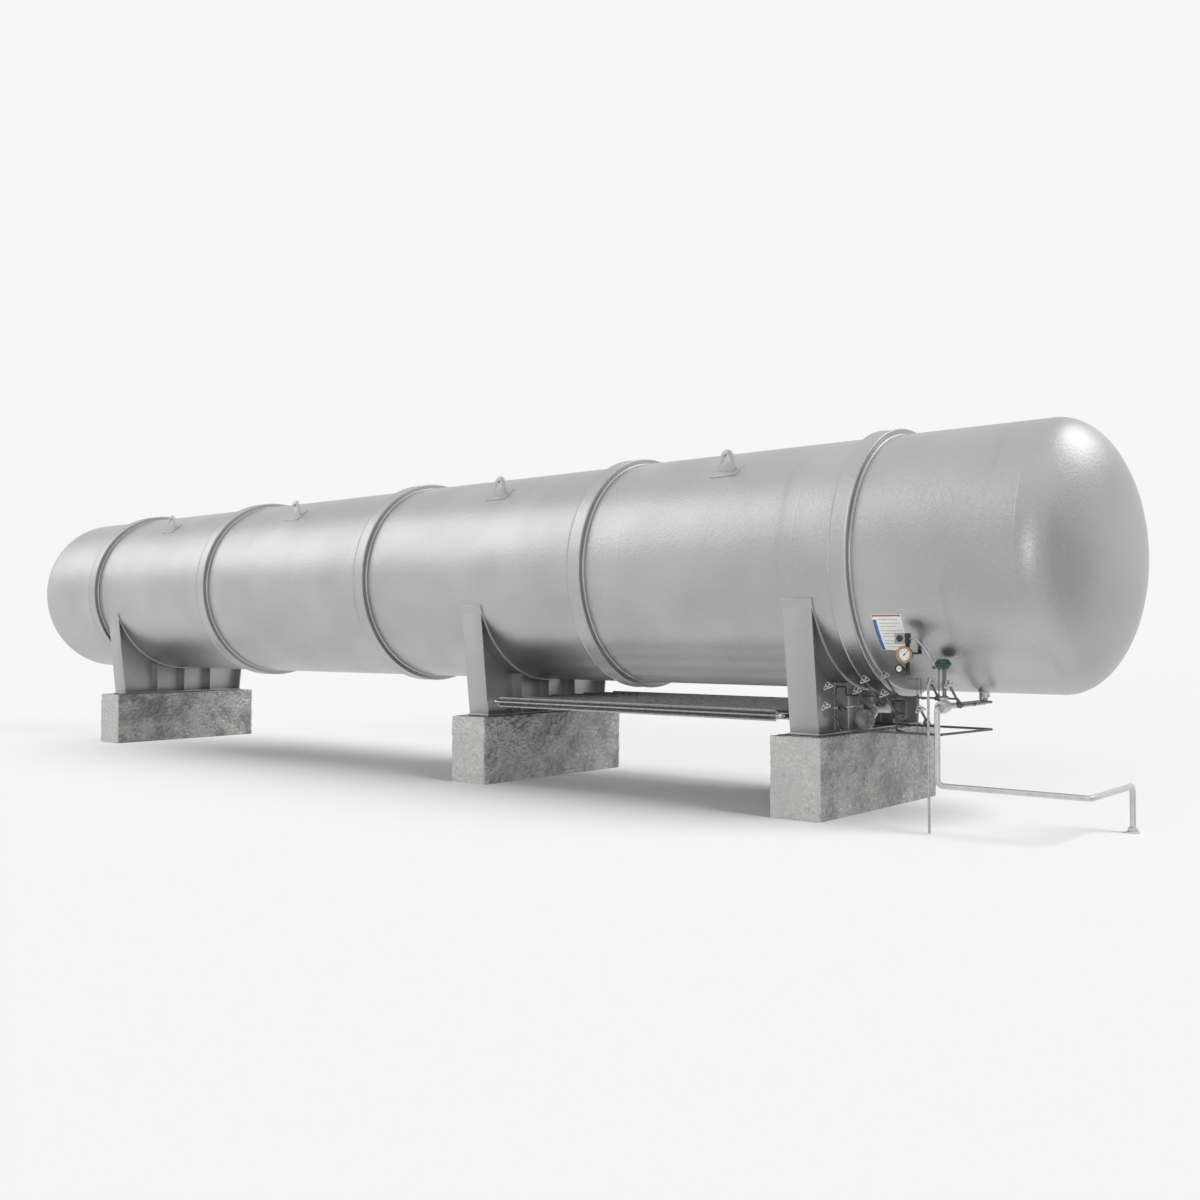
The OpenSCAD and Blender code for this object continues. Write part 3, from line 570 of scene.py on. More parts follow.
# %% Flat plates
def take_in(shape, mesh, place=Matrix()):
    """Add a finished mesh to a growing shape."""
    mesh.transform(place)
    shape.from_mesh(mesh)
    bpy.data.meshes.remove(mesh)


def slab(shape, low, high, edge=0.003, place=Matrix()):
    """A box between two corners, with rounded edges."""
    low, high = Vector(low), Vector(high)
    box = bmesh.new()
    bmesh.ops.create_cube(box, size=1)
    bmesh.ops.scale(box, vec=high - low, verts=box.verts)
    bmesh.ops.translate(box, vec=(low + high) / 2, verts=box.verts)
    bmesh.ops.bevel(box, geom=box.edges[:], offset=edge, segments=2, profile=0.5, affect="EDGES")
    mesh = bpy.data.meshes.new("slab")
    box.to_mesh(mesh)
    box.free()
    take_in(shape, mesh, place)


def curve_mesh(curve):
    """Make a curve or a text into a plain mesh."""
    holder = bpy.data.objects.new(curve.name, curve)
    scene.collection.objects.link(holder)
    graph = bpy.context.evaluated_depsgraph_get()
    mesh = bpy.data.meshes.new_from_object(holder.evaluated_get(graph))
    bpy.data.objects.remove(holder)
    bpy.data.curves.remove(curve)
    return mesh


def cut_plate(shape, loops, thick, place, edge=0.003):
    """Fill an outline and its holes, as loops of flat points, to a plate round the place's XY plane."""
    flat = bpy.data.curves.new("plate", "CURVE")
    flat.dimensions = "2D"
    flat.fill_mode = "BOTH"
    flat.extrude = thick / 2 - edge
    flat.bevel_depth = edge
    flat.bevel_resolution = 1
    flat.offset = -edge
    for loop in loops:
        spline = flat.splines.new("POLY")
        spline.points.add(len(loop) - 1)
        for point, (x, y) in zip(spline.points, loop):
            point.co = (x, y, 0, 1)
        spline.use_cyclic_u = True
    take_in(shape, curve_mesh(flat), place)


def arc(middle, radius, start, end, steps):
    """Points on an arc in a flat drawing, by angles in degrees."""
    turns = [math.radians(start + (end - start) * k / steps) for k in range(steps + 1)]
    return [(middle[0] + radius * math.cos(t), middle[1] + radius * math.sin(t)) for t in turns]


print("plate helpers ready")

# %% [markdown]
# A grown shape becomes an object with its place in its mesh. Doubled points are joined, the normals
# turned outwards, and edges sharper than a limit stay sharp while the rest is shaded smooth. Then it
# is painted with its finish, hung on the body it rides on, and the solids it stands for are hidden.

# %% From a growing shape to a piece
SHARP_DEG = 32


def settle(name, shape, finish, replaces=(), body="tank", merge=1e-6):
    """Make the growing shape a piece: join its seams, paint it and let it ride on its body."""
    bmesh.ops.remove_doubles(shape, verts=shape.verts[:], dist=merge)
    bmesh.ops.recalc_face_normals(shape, faces=shape.faces[:])
    mesh = bpy.data.meshes.new(name)
    shape.to_mesh(mesh)
    shape.free()
    mesh.materials.clear()
    mesh.materials.append(finishes[finish])
    mesh.polygons.foreach_set("material_index", [0] * len(mesh.polygons))
    mesh.polygons.foreach_set("use_smooth", [True] * len(mesh.polygons))
    mesh.set_sharp_from_angle(angle=math.radians(SHARP_DEG))
    piece = bpy.data.objects.new(name, mesh)
    scene.collection.objects.link(piece)
    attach(piece, body)
    if replaces:
        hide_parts(*replaces)
    print(name, "faces:", len(mesh.polygons))


print("edges stay sharp over", SHARP_DEG, "degrees")

# %% [markdown]
# The jacket is rolled plate, welded from courses. A single turned profile makes the whole wall, out
# along the outside and back along the inside, with a low weld bead at every course seam. Each head
# is half a flattened ellipsoid with the same wall. A screw modifier could turn these too, but the
# lathe above closes the poles and needs no applying.

# %% Turn the jacket and the two heads
WALL = 0.012
COURSE_LEN = 2.525
SEAM_H = 0.0007
SEAM_HALF = 0.011
HEAD_BEAD = (0.004, 0.012)
VESSEL_SIDES = 288
HEAD_STEPS = 44
AXLE = Vector((0, 0, AXIS_Z))


def seam_bumps(middle):
    """A low rounded bead in the jacket's profile."""
    shares = ((-1.6, 0), (-1, 0), (-0.55, 0.7), (0, 1), (0.55, 0.7), (1, 0), (1.6, 0))
    return [(JACKET_R + SEAM_H * lift, middle + SEAM_HALF * side) for side, lift in shares]


courses = round(2 * HALF_LEN / COURSE_LEN)
wall_line = [(JACKET_R, -HALF_LEN)]
for k in range(1, courses):
    wall_line += seam_bumps(-HALF_LEN + 2 * HALF_LEN * k / courses)
wall_line += [(JACKET_R, HALF_LEN), (JACKET_R - WALL, HALF_LEN), (JACKET_R - WALL, -HALF_LEN)]
jacket = bmesh.new()
lathe(jacket, wall_line, aim(AXLE, ALONG), VESSEL_SIDES, closed=True)
settle("jacket_plates", jacket, "jacket_paint", ["jacket_shell"])


def head_line(radius, depth):
    turns = [math.pi / 2 * k / HEAD_STEPS for k in range(HEAD_STEPS + 1)]
    return [(radius * math.cos(t), depth * math.sin(t)) for t in turns[:-1]] + [(0, depth)]


for side, node in ((1, "head_near"), (-1, "head_far")):
    head = bmesh.new()
    bead = [(JACKET_R, 0.0)] + [(JACKET_R + SEAM_H, height) for height in HEAD_BEAD]
    outer = bead + head_line(JACKET_R, HEAD_DEPTH)[1:]
    inner = head_line(JACKET_R - WALL, HEAD_DEPTH - WALL)
    rim = aim(AXLE + ALONG * side * HALF_LEN, ALONG * side)
    lathe(head, outer + inner[::-1], rim, VESSEL_SIDES)
    lathe(head, [(JACKET_R - WALL, 0), (JACKET_R, 0)], rim, VESSEL_SIDES)
    settle("dished_" + node, head, "jacket_paint", [node])

# %% [markdown]
# The stiffeners are wide bands of channel, welded round the jacket. Their outer edges are rolled, and
# a fat weld runs along both feet. All of it lies in one profile, turned once for each ring: the
# rolled edge is an arc of a few points, which catches the light as one thin bright line.

# %% Turn the stiffener rings
EDGE_ROLL = 0.014
LIP_RISE = 0.005
WELD_W = 0.024
WELD_H = 0.016
RING_COUNT = 5


def ring_line(half, top):
    """Half of a ring's profile, from the foot of its weld to the middle of its rim."""
    weld = [(JACKET_R, half + WELD_W), (JACKET_R + WELD_H * 0.45, half + WELD_W * 0.86),
            (JACKET_R + WELD_H * 0.85, half + WELD_W * 0.5), (JACKET_R + WELD_H, half + WELD_W * 0.12)]
    wall = [(JACKET_R + WELD_H, half)]
    roll = [(y, x) for x, y in arc((half - EDGE_ROLL, top - EDGE_ROLL), EDGE_ROLL, 0, 90, 5)]
    band = [(top - LIP_RISE, half - EDGE_ROLL - LIP_RISE * lips) for lips in (2, 4)]
    return weld + wall + roll + band


for number in range(1, RING_COUNT + 1):
    node = f"stiffener_ring_{number}"
    low, high, middle = span(node)
    half = (high.x - low.x) / 2
    one_side = ring_line(half, (high.z - low.z) / 2)
    other_side = [(radius, -height) for radius, height in one_side[::-1]]
    ring = bmesh.new()
    lathe(ring, one_side + other_side, aim(AXLE + ALONG * middle.x, ALONG), VESSEL_SIDES, closed=True)
    settle(f"ring_band_{number}", ring, "jacket_paint", [node])

# %% [markdown]
# Weld beads and pipes are both round bars along a chain of points. A small tree of nodes makes them: the
# chain becomes a curve, its corners are rounded and a circle is swept along it. A curve object with a
# bevel could do that too, but the tree keeps its sizes as named inputs and serves every pipe later.

# %% A tree that sweeps a pipe along a chain of points
def start_tree(name, sizes):
    """An empty geometry tree with named inputs, and a field for each of them."""
    tree = bpy.data.node_groups.new(name, "GeometryNodeTree")
    tree.interface.new_socket("Geometry", in_out="OUTPUT", socket_type="NodeSocketGeometry")
    tree.interface.new_socket("Geometry", in_out="INPUT", socket_type="NodeSocketGeometry")
    for label, kind in sizes.items():
        tree.interface.new_socket(label, in_out="INPUT", socket_type="NodeSocket" + kind)
    tree.interface.new_socket("Finish", in_out="INPUT", socket_type="NodeSocketMaterial")
    entry = tree.nodes.new("NodeGroupInput")
    return tree, {socket.name: Field(tree, socket) for socket in entry.outputs if socket.name}


def end_tree(geometry, finish):
    """Make instances real, paint them and close the tree."""
    solid = geometry.add("GeometryNodeRealizeInstances", None, {"Geometry": geometry})
    painted = solid.add("GeometryNodeSetMaterial", None, {"Geometry": solid, "Material": finish})
    leave = geometry.tree.nodes.new("NodeGroupOutput")
    geometry.tree.links.new(painted.socket, leave.inputs["Geometry"])


def grow(tree, seed, values):
    """Run a tree on a seed mesh with these inputs and give back a plain mesh."""
    holder = bpy.data.objects.new(tree.name, seed)
    scene.collection.objects.link(holder)
    modifier = holder.modifiers.new(tree.name, "NODES")
    modifier.node_group = tree
    for item in tree.interface.items_tree:
        if item.in_out == "INPUT" and item.name in values:
            modifier[item.identifier] = values[item.name]
    graph = bpy.context.evaluated_depsgraph_get()
    mesh = bpy.data.meshes.new_from_object(holder.evaluated_get(graph), depsgraph=graph)
    holder.modifiers.remove(modifier)
    bpy.data.objects.remove(holder)
    bpy.data.meshes.remove(seed)
    return mesh


pipe_tree, size_of = start_tree("bent_pipe", {"Radius": "Float", "Bend": "Float",
                                              "Sides": "Int", "Steps": "Int"})
chain = size_of["Geometry"].add("GeometryNodeMeshToCurve", None, {"Mesh": size_of["Geometry"]})
bent = chain.add("GeometryNodeFilletCurve", {"mode": "POLY"},
                 {"Curve": chain, "Count": size_of["Steps"], "Radius": size_of["Bend"], "Limit Radius": True})
round_line = chain.add("GeometryNodeCurvePrimitiveCircle", {"mode": "RADIUS"},
                       {"Resolution": size_of["Sides"], "Radius": size_of["Radius"]})
swept = chain.add("GeometryNodeCurveToMesh", None,
                  {"Curve": bent, "Profile Curve": round_line, "Fill Caps": True})
end_tree(swept, size_of["Finish"])


def pipe(shape, points, radius, bend, finish, sides=20, steps=8, loop=False):
    """Sweep a pipe along the points, with round bends, into a growing shape."""
    count = len(points)
    links = [(k, k + 1) for k in range(count - 1)] + ([(count - 1, 0)] if loop else [])
    seed = bpy.data.meshes.new("pipe_route")
    seed.from_pydata([tuple(p) for p in points], links, [])
    values = {"Radius": radius, "Bend": bend, "Sides": sides, "Steps": steps, "Finish": finishes[finish]}
    take_in(shape, grow(pipe_tree, seed, values))


print("pipe tree inputs:", [item.name for item in pipe_tree.interface.items_tree if item.in_out == "INPUT"])

# %% [markdown]
# The pads under the lugs, the wrappers on the saddles and the notice all follow the jacket, so they are
# laid out in degrees round its axis. A pad is a row of cross-sections with faces between them, and its
# weld is a pipe round its rim. A flat plate with a bend modifier would need the same numbers twice.

# %% Plates bent to the jacket
PAD_STEPS = 12
WELD_BEND = 0.01
WELD_SIDES, WELD_STEPS = 8, 3


def on_jacket(x, degrees, height):
    """A point over the jacket, by degrees from the top towards the front."""
    turn = math.radians(degrees)
    reach = JACKET_R + height
    return Vector((x, -reach * math.sin(turn), AXIS_Z + reach * math.cos(turn)))


def curved_pad(shape, x, degrees, length, sweep, thick, edge, steps=PAD_STEPS):
    """A plate bent to the jacket, with its outer edges taken off."""
    edge_deg = math.degrees(edge / JACKET_R)
    turns = [degrees - sweep / 2, degrees - sweep / 2 + edge_deg]
    turns += [degrees - sweep / 2 + sweep * k / steps for k in range(1, steps)]
    turns += [degrees + sweep / 2 - edge_deg, degrees + sweep / 2]
    half = length / 2
    rows = []
    for k, turn in enumerate(turns):
        top = thick - edge if k in (0, len(turns) - 1) else thick
        rows.append([shape.verts.new(on_jacket(x + side, turn, height)) for side, height in
                     ((-half, 0), (-half, thick - edge), (edge - half, top), (half - edge, top),
                      (half, thick - edge), (half, 0))])
    for near, far in zip(rows, rows[1:]):
        for k in range(len(near)):
            after = (k + 1) % len(near)
            shape.faces.new((near[k], near[after], far[after], far[k]))
    for row in (rows[0], rows[-1]):
        shape.faces.new(row)


def pad_weld(shape, x, degrees, length, sweep, height, radius, finish, steps=PAD_STEPS):
    """The bead of weld round a curved pad."""
    turns = [degrees - sweep / 2 + sweep * k / steps for k in range(steps + 1)]
    rim = [on_jacket(x - length / 2, t, height) for t in turns]
    rim += [on_jacket(x + length / 2, t, height) for t in reversed(turns)]
    pipe(shape, rim, radius, WELD_BEND, finish, WELD_SIDES, WELD_STEPS, loop=True)


print("top of the jacket", [round(value, 3) for value in on_jacket(0, 0, 0)])

# %% [markdown]
# Eight lifting lugs stand on such pads on both shoulders. The eye plate is an outline with a hole, so the
# flat-curve helper suits it. The mounts in the frame's record say where each hole is and how wide.

# %% Make the lifting lugs
LUG_W = 0.25
LUG_T = 0.030
LUG_TOP_R = 0.090
LUG_SINK = 0.004
PAD_LEN = 0.37
PAD_T = 0.016
PAD_DEG = 10.0
PAD_EDGE = 0.005
WELD_R = 0.007
WELD_LIFT = 0.001


def lug(shape, hole, hole_r, degrees):
    """One eye plate on its pad, below a hole at this place."""
    foot = on_jacket(hole.x, degrees, -LUG_SINK).z - hole.z
    lean = math.degrees(math.asin((LUG_W / 2 - LUG_TOP_R) / -foot))
    outline = [(-LUG_W / 2, foot), (LUG_W / 2, foot)] + arc((0, 0), LUG_TOP_R, lean, 180 - lean, 20)
    eye = arc((0, 0), hole_r, 0, 360, 28)[:-1]
    cut_plate(shape, [outline, eye], LUG_T, aim(hole, FRONT))
    curved_pad(shape, hole.x, degrees, PAD_LEN, PAD_DEG, PAD_T, PAD_EDGE)
    pad_weld(shape, hole.x, degrees, PAD_LEN, PAD_DEG, WELD_LIFT, WELD_R, "jacket_paint")
    seat = on_jacket(hole.x, degrees, PAD_T)
    for side in (-1, 1):
        root = seat.z + side * LUG_T / 2 * math.tan(math.radians(degrees)) * (1 if seat.y < 0 else -1)
        line_y = seat.y + side * LUG_T / 2
        rod(shape, (hole.x - LUG_W / 2, line_y, root), (hole.x + LUG_W / 2, line_y, root), WELD_R, 10)


for row in ("front", "back"):
    lugs = bmesh.new()
    for mount in frame["record"]["mounts"]:
        if mount["name"].startswith("lug_" + row):
            eye_at = Vector(mount["pos_m"])
            tilt = math.degrees(math.asin(-eye_at.y / JACKET_R))
            lug(lugs, eye_at, mount["dims"]["r_mm"] / 1000, tilt)
    settle(f"lug_eyes_{row}", lugs, "jacket_paint", [f"lifting_lugs_{row}"])

# %% [markdown]
# Each saddle is a welded frame: a base plate, an upright web with a round seat, two slanted end plates
# and three ribs, with a curved wrapper plate between the frame and the jacket. Every plate is an
# outline cut from sheet, so the flat-curve helper and the slab make them, and thin rods make the welds
# in the corners. Cutting one block with booleans would give edges that no plate work has.

# %% Weld up the saddles
PLATE_T = 0.020
BASE_T = 0.020
BASE_RIM = 0.018
TOP_IN = 0.080
RIB_SHARE = 0.4589
WRAP_T = 0.0203
WRAP_W = 0.408
WRAP_DEG = 146
WRAP_STEPS = 72
SEAT_STEPS = 56
FILLET_R = 0.006
BLOCK_RIM = 0.2065
BASE_EDGE = 0.004
WEB_EDGE = 0.002
WRAP_EDGE = 0.004
WRAP_R = JACKET_R + WRAP_T
FOOT_Y = BLOCK_END - BLOCK_RIM - BASE_RIM
RIB_YS = [FOOT_Y * share for share in (-RIB_SHARE, 0, RIB_SHARE)]


def seat_height(y):
    """Height of the wrapper's underside at this distance from the middle."""
    return AXIS_Z - math.sqrt(WRAP_R ** 2 - y ** 2)


def saddle(node):
    """Base plate, web, end plates, ribs and welds of one saddle."""
    low, high, middle = span(node)
    x = middle.x
    upright = aim((x, 0, 0), ALONG)
    top_y = JACKET_R - TOP_IN
    top_z = seat_height(top_y)
    base_z = low.z + BASE_T
    half = (high.x - low.x) / 2 - BASE_RIM
    web_y = FOOT_Y - PLATE_T / 2
    shape = bmesh.new()
    slab(shape, (low.x, -FOOT_Y - BASE_RIM, low.z), (high.x, FOOT_Y + BASE_RIM, base_z), BASE_EDGE)
    lean = math.degrees(math.asin((top_y - PLATE_T / 2) / WRAP_R))
    seat = arc((0, AXIS_Z), WRAP_R, lean - 90, -90 - lean, SEAT_STEPS)
    cut_plate(shape, [[(-web_y, base_z), (web_y, base_z)] + seat], PLATE_T, upright, WEB_EDGE)
    foot_lines = []
    for side in (-1, 1):
        outline = [(side * FOOT_Y, base_z), (side * (FOOT_Y - PLATE_T), base_z),
                   (side * (top_y - PLATE_T), top_z), (side * top_y, top_z)]
        cut_plate(shape, [outline[::side]], 2 * half, upright)
        foot_lines += [side * (FOOT_Y - PLATE_T), side * FOOT_Y]
        web_x = x + side * PLATE_T / 2
        rod(shape, (web_x, -web_y, base_z), (web_x, web_y, base_z), FILLET_R, WELD_SIDES)
    for y in RIB_YS:
        rib_top = seat_height(max(0, abs(y) - PLATE_T / 2))
        slab(shape, (x - half, y - PLATE_T / 2, base_z), (x + half, y + PLATE_T / 2, rib_top), WEB_EDGE)
        for line_y in (y - PLATE_T / 2, y + PLATE_T / 2):
            foot_lines.append(line_y)
            for web_x in (x - PLATE_T / 2, x + PLATE_T / 2):
                rod(shape, (web_x, line_y, base_z), (web_x, line_y, rib_top), FILLET_R, WELD_SIDES)
    for line_y in foot_lines:
        rod(shape, (x - half, line_y, base_z), (x + half, line_y, base_z), FILLET_R, WELD_SIDES)
    settle("frame_of_" + node, shape, "saddle_paint", [node])


wrappers = bmesh.new()
for node in ("saddle_far", "saddle_middle", "saddle_near"):
    saddle(node)
    x = span(node)[2].x
    curved_pad(wrappers, x, 180, WRAP_W, WRAP_DEG, WRAP_T, WRAP_EDGE, WRAP_STEPS)
    pad_weld(wrappers, x, 180, WRAP_W, WRAP_DEG, 0.0, FILLET_R, "saddle_paint", WRAP_STEPS)
settle("wrapper_plates", wrappers, "saddle_paint", ["saddle_wrappers"])

# %% [markdown]
# The blocks were cast in rough boards and have weathered. A displace modifier would do, but it pushes
# every face alike; here a grid of points is pulled inwards by noise, more at the edges where pieces
# have broken away, and not at all underneath or where the base plate sits. Nothing grows outwards, so
# the block keeps its size.

# %% Cast the concrete blocks
CELL = 0.022
EDGE_WEAR = 0.010
DENT = 0.010
CHIP = 0.030
CHIP_REACH = 0.055
CHIP_FROM = 0.30
LUMPS_PER_M = 9
CHIPS_PER_M = 6
CHIP_SHIFT = Vector((3, 7, 1))


def block_faces(low, high):
    """Yield grids of points for the six faces of a box."""
    size = high - low
    counts = [max(1, round(side / CELL)) for side in size]
    for axis in range(3):
        first, second = [a for a in range(3) if a != axis]
        for end in (0, 1):
            grid = []
            for i in range(counts[first] + 1):
                row = []
                for j in range(counts[second] + 1):
                    point = Vector(low)
                    point[axis] += size[axis] * end
                    point[first] += size[first] * i / counts[first]
                    point[second] += size[second] * j / counts[second]
                    row.append(point)
                grid.append(row)
            yield grid


def weathered(point, low, high, plate):
    """Pull one point of the block inwards by wear, dents and chips."""
    inner = Vector(min(max(point[a], low[a] + EDGE_WEAR), high[a] - EDGE_WEAR) for a in range(3))
    out = (point - inner).normalized()
    near_edge = sorted(min(point[a] - low[a], high[a] - point[a]) for a in range(3))[1]
    lump = noise.fractal(point * LUMPS_PER_M, 0.6, 2.0, 4)
    loss = DENT * max(0.0, 0.5 + 0.8 * lump)
    ragged = noise.fractal(point * CHIPS_PER_M + CHIP_SHIFT, 0.8, 2.1, 3)
    loss += CHIP * max(0.0, ragged - CHIP_FROM) * max(0.0, 1 - near_edge / CHIP_REACH)
    under_plate = abs(point.y) < plate.y and abs(point.x - (low.x + high.x) / 2) < plate.x
    if out.z > 0.9 and under_plate:
        loss = 0.0
    moved = inner + out * (EDGE_WEAR - loss)
    if point.z - low.z < TINY:
        moved.z = low.z
    return moved


for place in ("far", "middle", "near"):
    low, high = span(f"concrete_block_{place}")[:2]
    base_low, base_high = span(f"saddle_{place}")[:2]
    plate = Vector(((base_high.x - base_low.x) / 2, FOOT_Y + BASE_RIM, 0))
    block = bmesh.new()
    for grid in block_faces(low, high):
        rows = [[block.verts.new(weathered(p, low, high, plate)) for p in row] for row in grid]
        for row, after in zip(rows, rows[1:]):
            for k in range(len(row) - 1):
                block.faces.new((row[k], row[k + 1], after[k + 1], after[k]))
    settle(f"cast_block_{place}", block, "concrete", [f"concrete_block_{place}"], merge=1e-5)

# %% [markdown]
# Under the tank hangs the coil that builds pressure: a layer of aluminium tubes with long star fins.
# This is repetition twice over, fins round a tube and tubes side by side, so a tree of nodes makes it:
# thin boxes are turned about the tube by their index, and the finished tube is set on a line of points.

# %% A tree for the finned tubes
coil_tree, size_of = start_tree("finned_coil", {
    "Tubes": "Int", "Pitch": "Float", "Start": "Float", "Tube Length": "Float", "Tube Radius": "Float",
    "Fins": "Int", "Fin Radius": "Float", "Fin Thickness": "Float", "Fin Length": "Float"})
maker = size_of["Geometry"]
index = maker.add("GeometryNodeInputIndex")
fin_size = maker.add("CombineXYZ", None, {"X": size_of["Fin Length"], "Y": size_of["Fin Radius"] * 2.0,
                                          "Z": size_of["Fin Thickness"]})
fin = maker.add("GeometryNodeMeshCube", None, {"Size": fin_size})
spokes = maker.add("GeometryNodePoints", None, {"Count": size_of["Fins"] / 2.0})
fan = maker.add("CombineXYZ", None, {"X": index * (2 * math.pi) / size_of["Fins"]})
star = maker.add("GeometryNodeInstanceOnPoints", None, {"Points": spokes, "Instance": fin, "Rotation": fan})
core = maker.add("GeometryNodeMeshCylinder", None,
                 {"Vertices": 14, "Radius": size_of["Tube Radius"], "Depth": size_of["Tube Length"]})
lying = maker.add("GeometryNodeTransform", None, {"Geometry": core, "Rotation": (0, math.pi / 2, 0)})
tube = maker.add("GeometryNodeJoinGeometry", None, {"Geometry": [star, lying]})
step = maker.add("CombineXYZ", None, {"Y": size_of["Pitch"]})
begin = maker.add("CombineXYZ", None, {"Y": size_of["Start"]})
rank = maker.add("GeometryNodeMeshLine", {"mode": "OFFSET"},
                 {"Count": size_of["Tubes"], "Start Location": begin, "Offset": step})
coil_set = maker.add("GeometryNodeInstanceOnPoints", None, {"Points": rank, "Instance": tube})
end_tree(coil_set, size_of["Finish"])
print("coil tree nodes:", len(coil_tree.nodes))

# %% [markdown]
# The box of the coil's solid gives the tree its numbers: how long the tubes are, where the first one lies
# and how far apart they are. The fins stop short of the ends, where the bare tubes show.

# %% Lay the finned tubes
TUBES = 8
FINS = 8
FIN_R = 0.067
FIN_T = 0.004
TUBE_R = 0.017
FIN_START = 0.1

tube_low, tube_high, coil_mid = span("finned_tubes")
first_y = tube_low.y + FIN_R
pitch = (tube_high.y - tube_low.y - 2 * FIN_R) / (TUBES - 1)
tube_len = tube_high.x - tube_low.x
coil = bmesh.new()
take_in(coil, grow(coil_tree, bpy.data.meshes.new("coil_seed"), {
    "Tubes": TUBES, "Pitch": pitch, "Start": first_y, "Tube Length": tube_len, "Tube Radius": TUBE_R,
    "Fins": FINS, "Fin Radius": FIN_R, "Fin Thickness": FIN_T, "Fin Length": tube_len - 2 * FIN_START,
    "Finish": finishes["fin_aluminium"]}), Matrix.Translation((coil_mid.x, 0, coil_mid.z)))
settle("star_fin_tubes", coil, "fin_aluminium", ["finned_tubes"])

# %% [markdown]
# A header pipe closes the coil at each end. Hexagon unions join the tubes to it, and bolted clamps hold
# it to the ribs of two saddles. All of that is rods and slabs in two loops.

# %% Join the headers and clamp them
HEADER_R = 0.024
HEADER_EDGE = 0.008
STUB_LEN = 0.012
STUB_R = TUBE_R + 0.003
NUT_R = 0.025
NUT_LEN = 0.030
BRACKET_W = 0.060
BRACKET_H = 0.080
CLAMP_R = HEADER_R + 0.005
CLAMP_BOLT_R = 0.009
CLAMP_BOLT_H = 0.012

header_low, header_high = span("coil_headers")[:2]
headers = bmesh.new()
unions = bmesh.new()
header_xs = (header_low.x + HEADER_R, header_high.x - HEADER_R)
for x, side in zip(header_xs, (1, -1)):
    rod(headers, (x, header_low.y, coil_mid.z), (x, header_high.y, coil_mid.z), HEADER_R, 24, HEADER_EDGE)
    for k in range(TUBES):
        middle = Vector((x, first_y + pitch * k, coil_mid.z))
        nut_at = middle + ALONG * side * (HEADER_R + STUB_LEN)
        nut_end = nut_at + ALONG * side * NUT_LEN
        rod(headers, middle, nut_at, STUB_R, 16)
        rod(unions, nut_at, nut_end, NUT_R, HEX)
        rod(unions, nut_end, nut_end + ALONG * side * NUT_LEN / 2, STUB_R, 16)
settle("coil_header_pipes", headers, "coil_steel", ["coil_headers"])
settle("coil_unions", unions, "stainless")

brackets = bmesh.new()
bracket_low, bracket_high = span("coil_brackets")[:2]
for x, edge_x in zip(header_xs, (bracket_low.x, bracket_high.x)):
    way = math.copysign(1, x - edge_x)
    bolt_x = x - way * HEADER_R * 0.6
    ends = sorted((edge_x, bolt_x))
    for y in RIB_YS:
        slab(brackets, (ends[0], y - BRACKET_W / 2, coil_mid.z - BRACKET_H / 2),
             (ends[1], y + BRACKET_W / 2, coil_mid.z + BRACKET_H / 2))
        rod(brackets, (x, y - BRACKET_W / 2, coil_mid.z), (x, y + BRACKET_W / 2, coil_mid.z), CLAMP_R)
        for side in (-1, 1):
            bolt_at = Vector((bolt_x, y, coil_mid.z + side * BRACKET_H * 0.4))
            rod(brackets, bolt_at, bolt_at + ALONG * way * CLAMP_BOLT_H, CLAMP_BOLT_R, HEX)
settle("coil_clamps", brackets, "coil_steel", ["coil_brackets"])

# %% [markdown]
# Nine cold valves sit in the bay under the near end. Each has a small cast body, a hexagon bonnet and a
# long stem that carries its handle clear of the frost. The joints of the frame give the middle of every
# handle, so the bodies follow by going back down the stem. One function makes them all, turned on the
# stem's own axis, and hexagon nuts are rods with six sides.

# %% Cast the valve bodies
LEFT, RIGHT, BACK, DOWN = -ALONG, ALONG, -FRONT, -UP
STEM_LEN = 0.46
STEM_SHARES = (0.884, 0.935, 0.75, 1, 0.87, 0.848, 0.522, 0.652, 0.783)
VALVE_WAYS = ((LEFT, RIGHT), (LEFT, RIGHT), (DOWN, LEFT), (BACK, LEFT), (BACK, DOWN),
              (BACK, LEFT), (DOWN, LEFT), (BACK, LEFT), (FRONT, BACK))
BODY_LINE = ((0, -0.031), (0.014, -0.030), (0.024, -0.022), (0.030, -0.008), (0.030, 0.008), (0.026, 0.020),
             (0.022, 0.027), (0.027, 0.030), (0.027, 0.036), (0.020, 0.038), (0, 0.038))
BONNET_AT, BONNET_R = (0.037, 0.054), 0.025
COLLAR_AT, COLLAR_R = (0.053, 0.066), 0.0175
STEM_R = 0.013
SLEEVE_H, SLEEVE_R = 0.012, 0.0155
GLAND_H, GLAND_R = 0.018, 0.019
END_NUT_H, END_NUT_R = 0.008, 0.012
PORT_AT = (0.012, 0.034)
PORT_NUT_AT = 0.030
PORT_LEN = 0.046
PORT_R = 0.021
HUB_H = 0.026
HUB_R = 0.019
PIN_R = 0.008
PIN_ROOM = 0.0005
PIN_EDGE = 0.0002

handle_at = [Vector(joint["pos_m"]) for joint in frame["joints"]]
valve_at = [at - STEM_WAY * STEM_LEN * share for at, share in zip(handle_at, STEM_SHARES)]


def port(number, way):
    """End of a valve's port on this side, counted from one as the joints are."""
    return valve_at[number - 1] + way * PORT_LEN


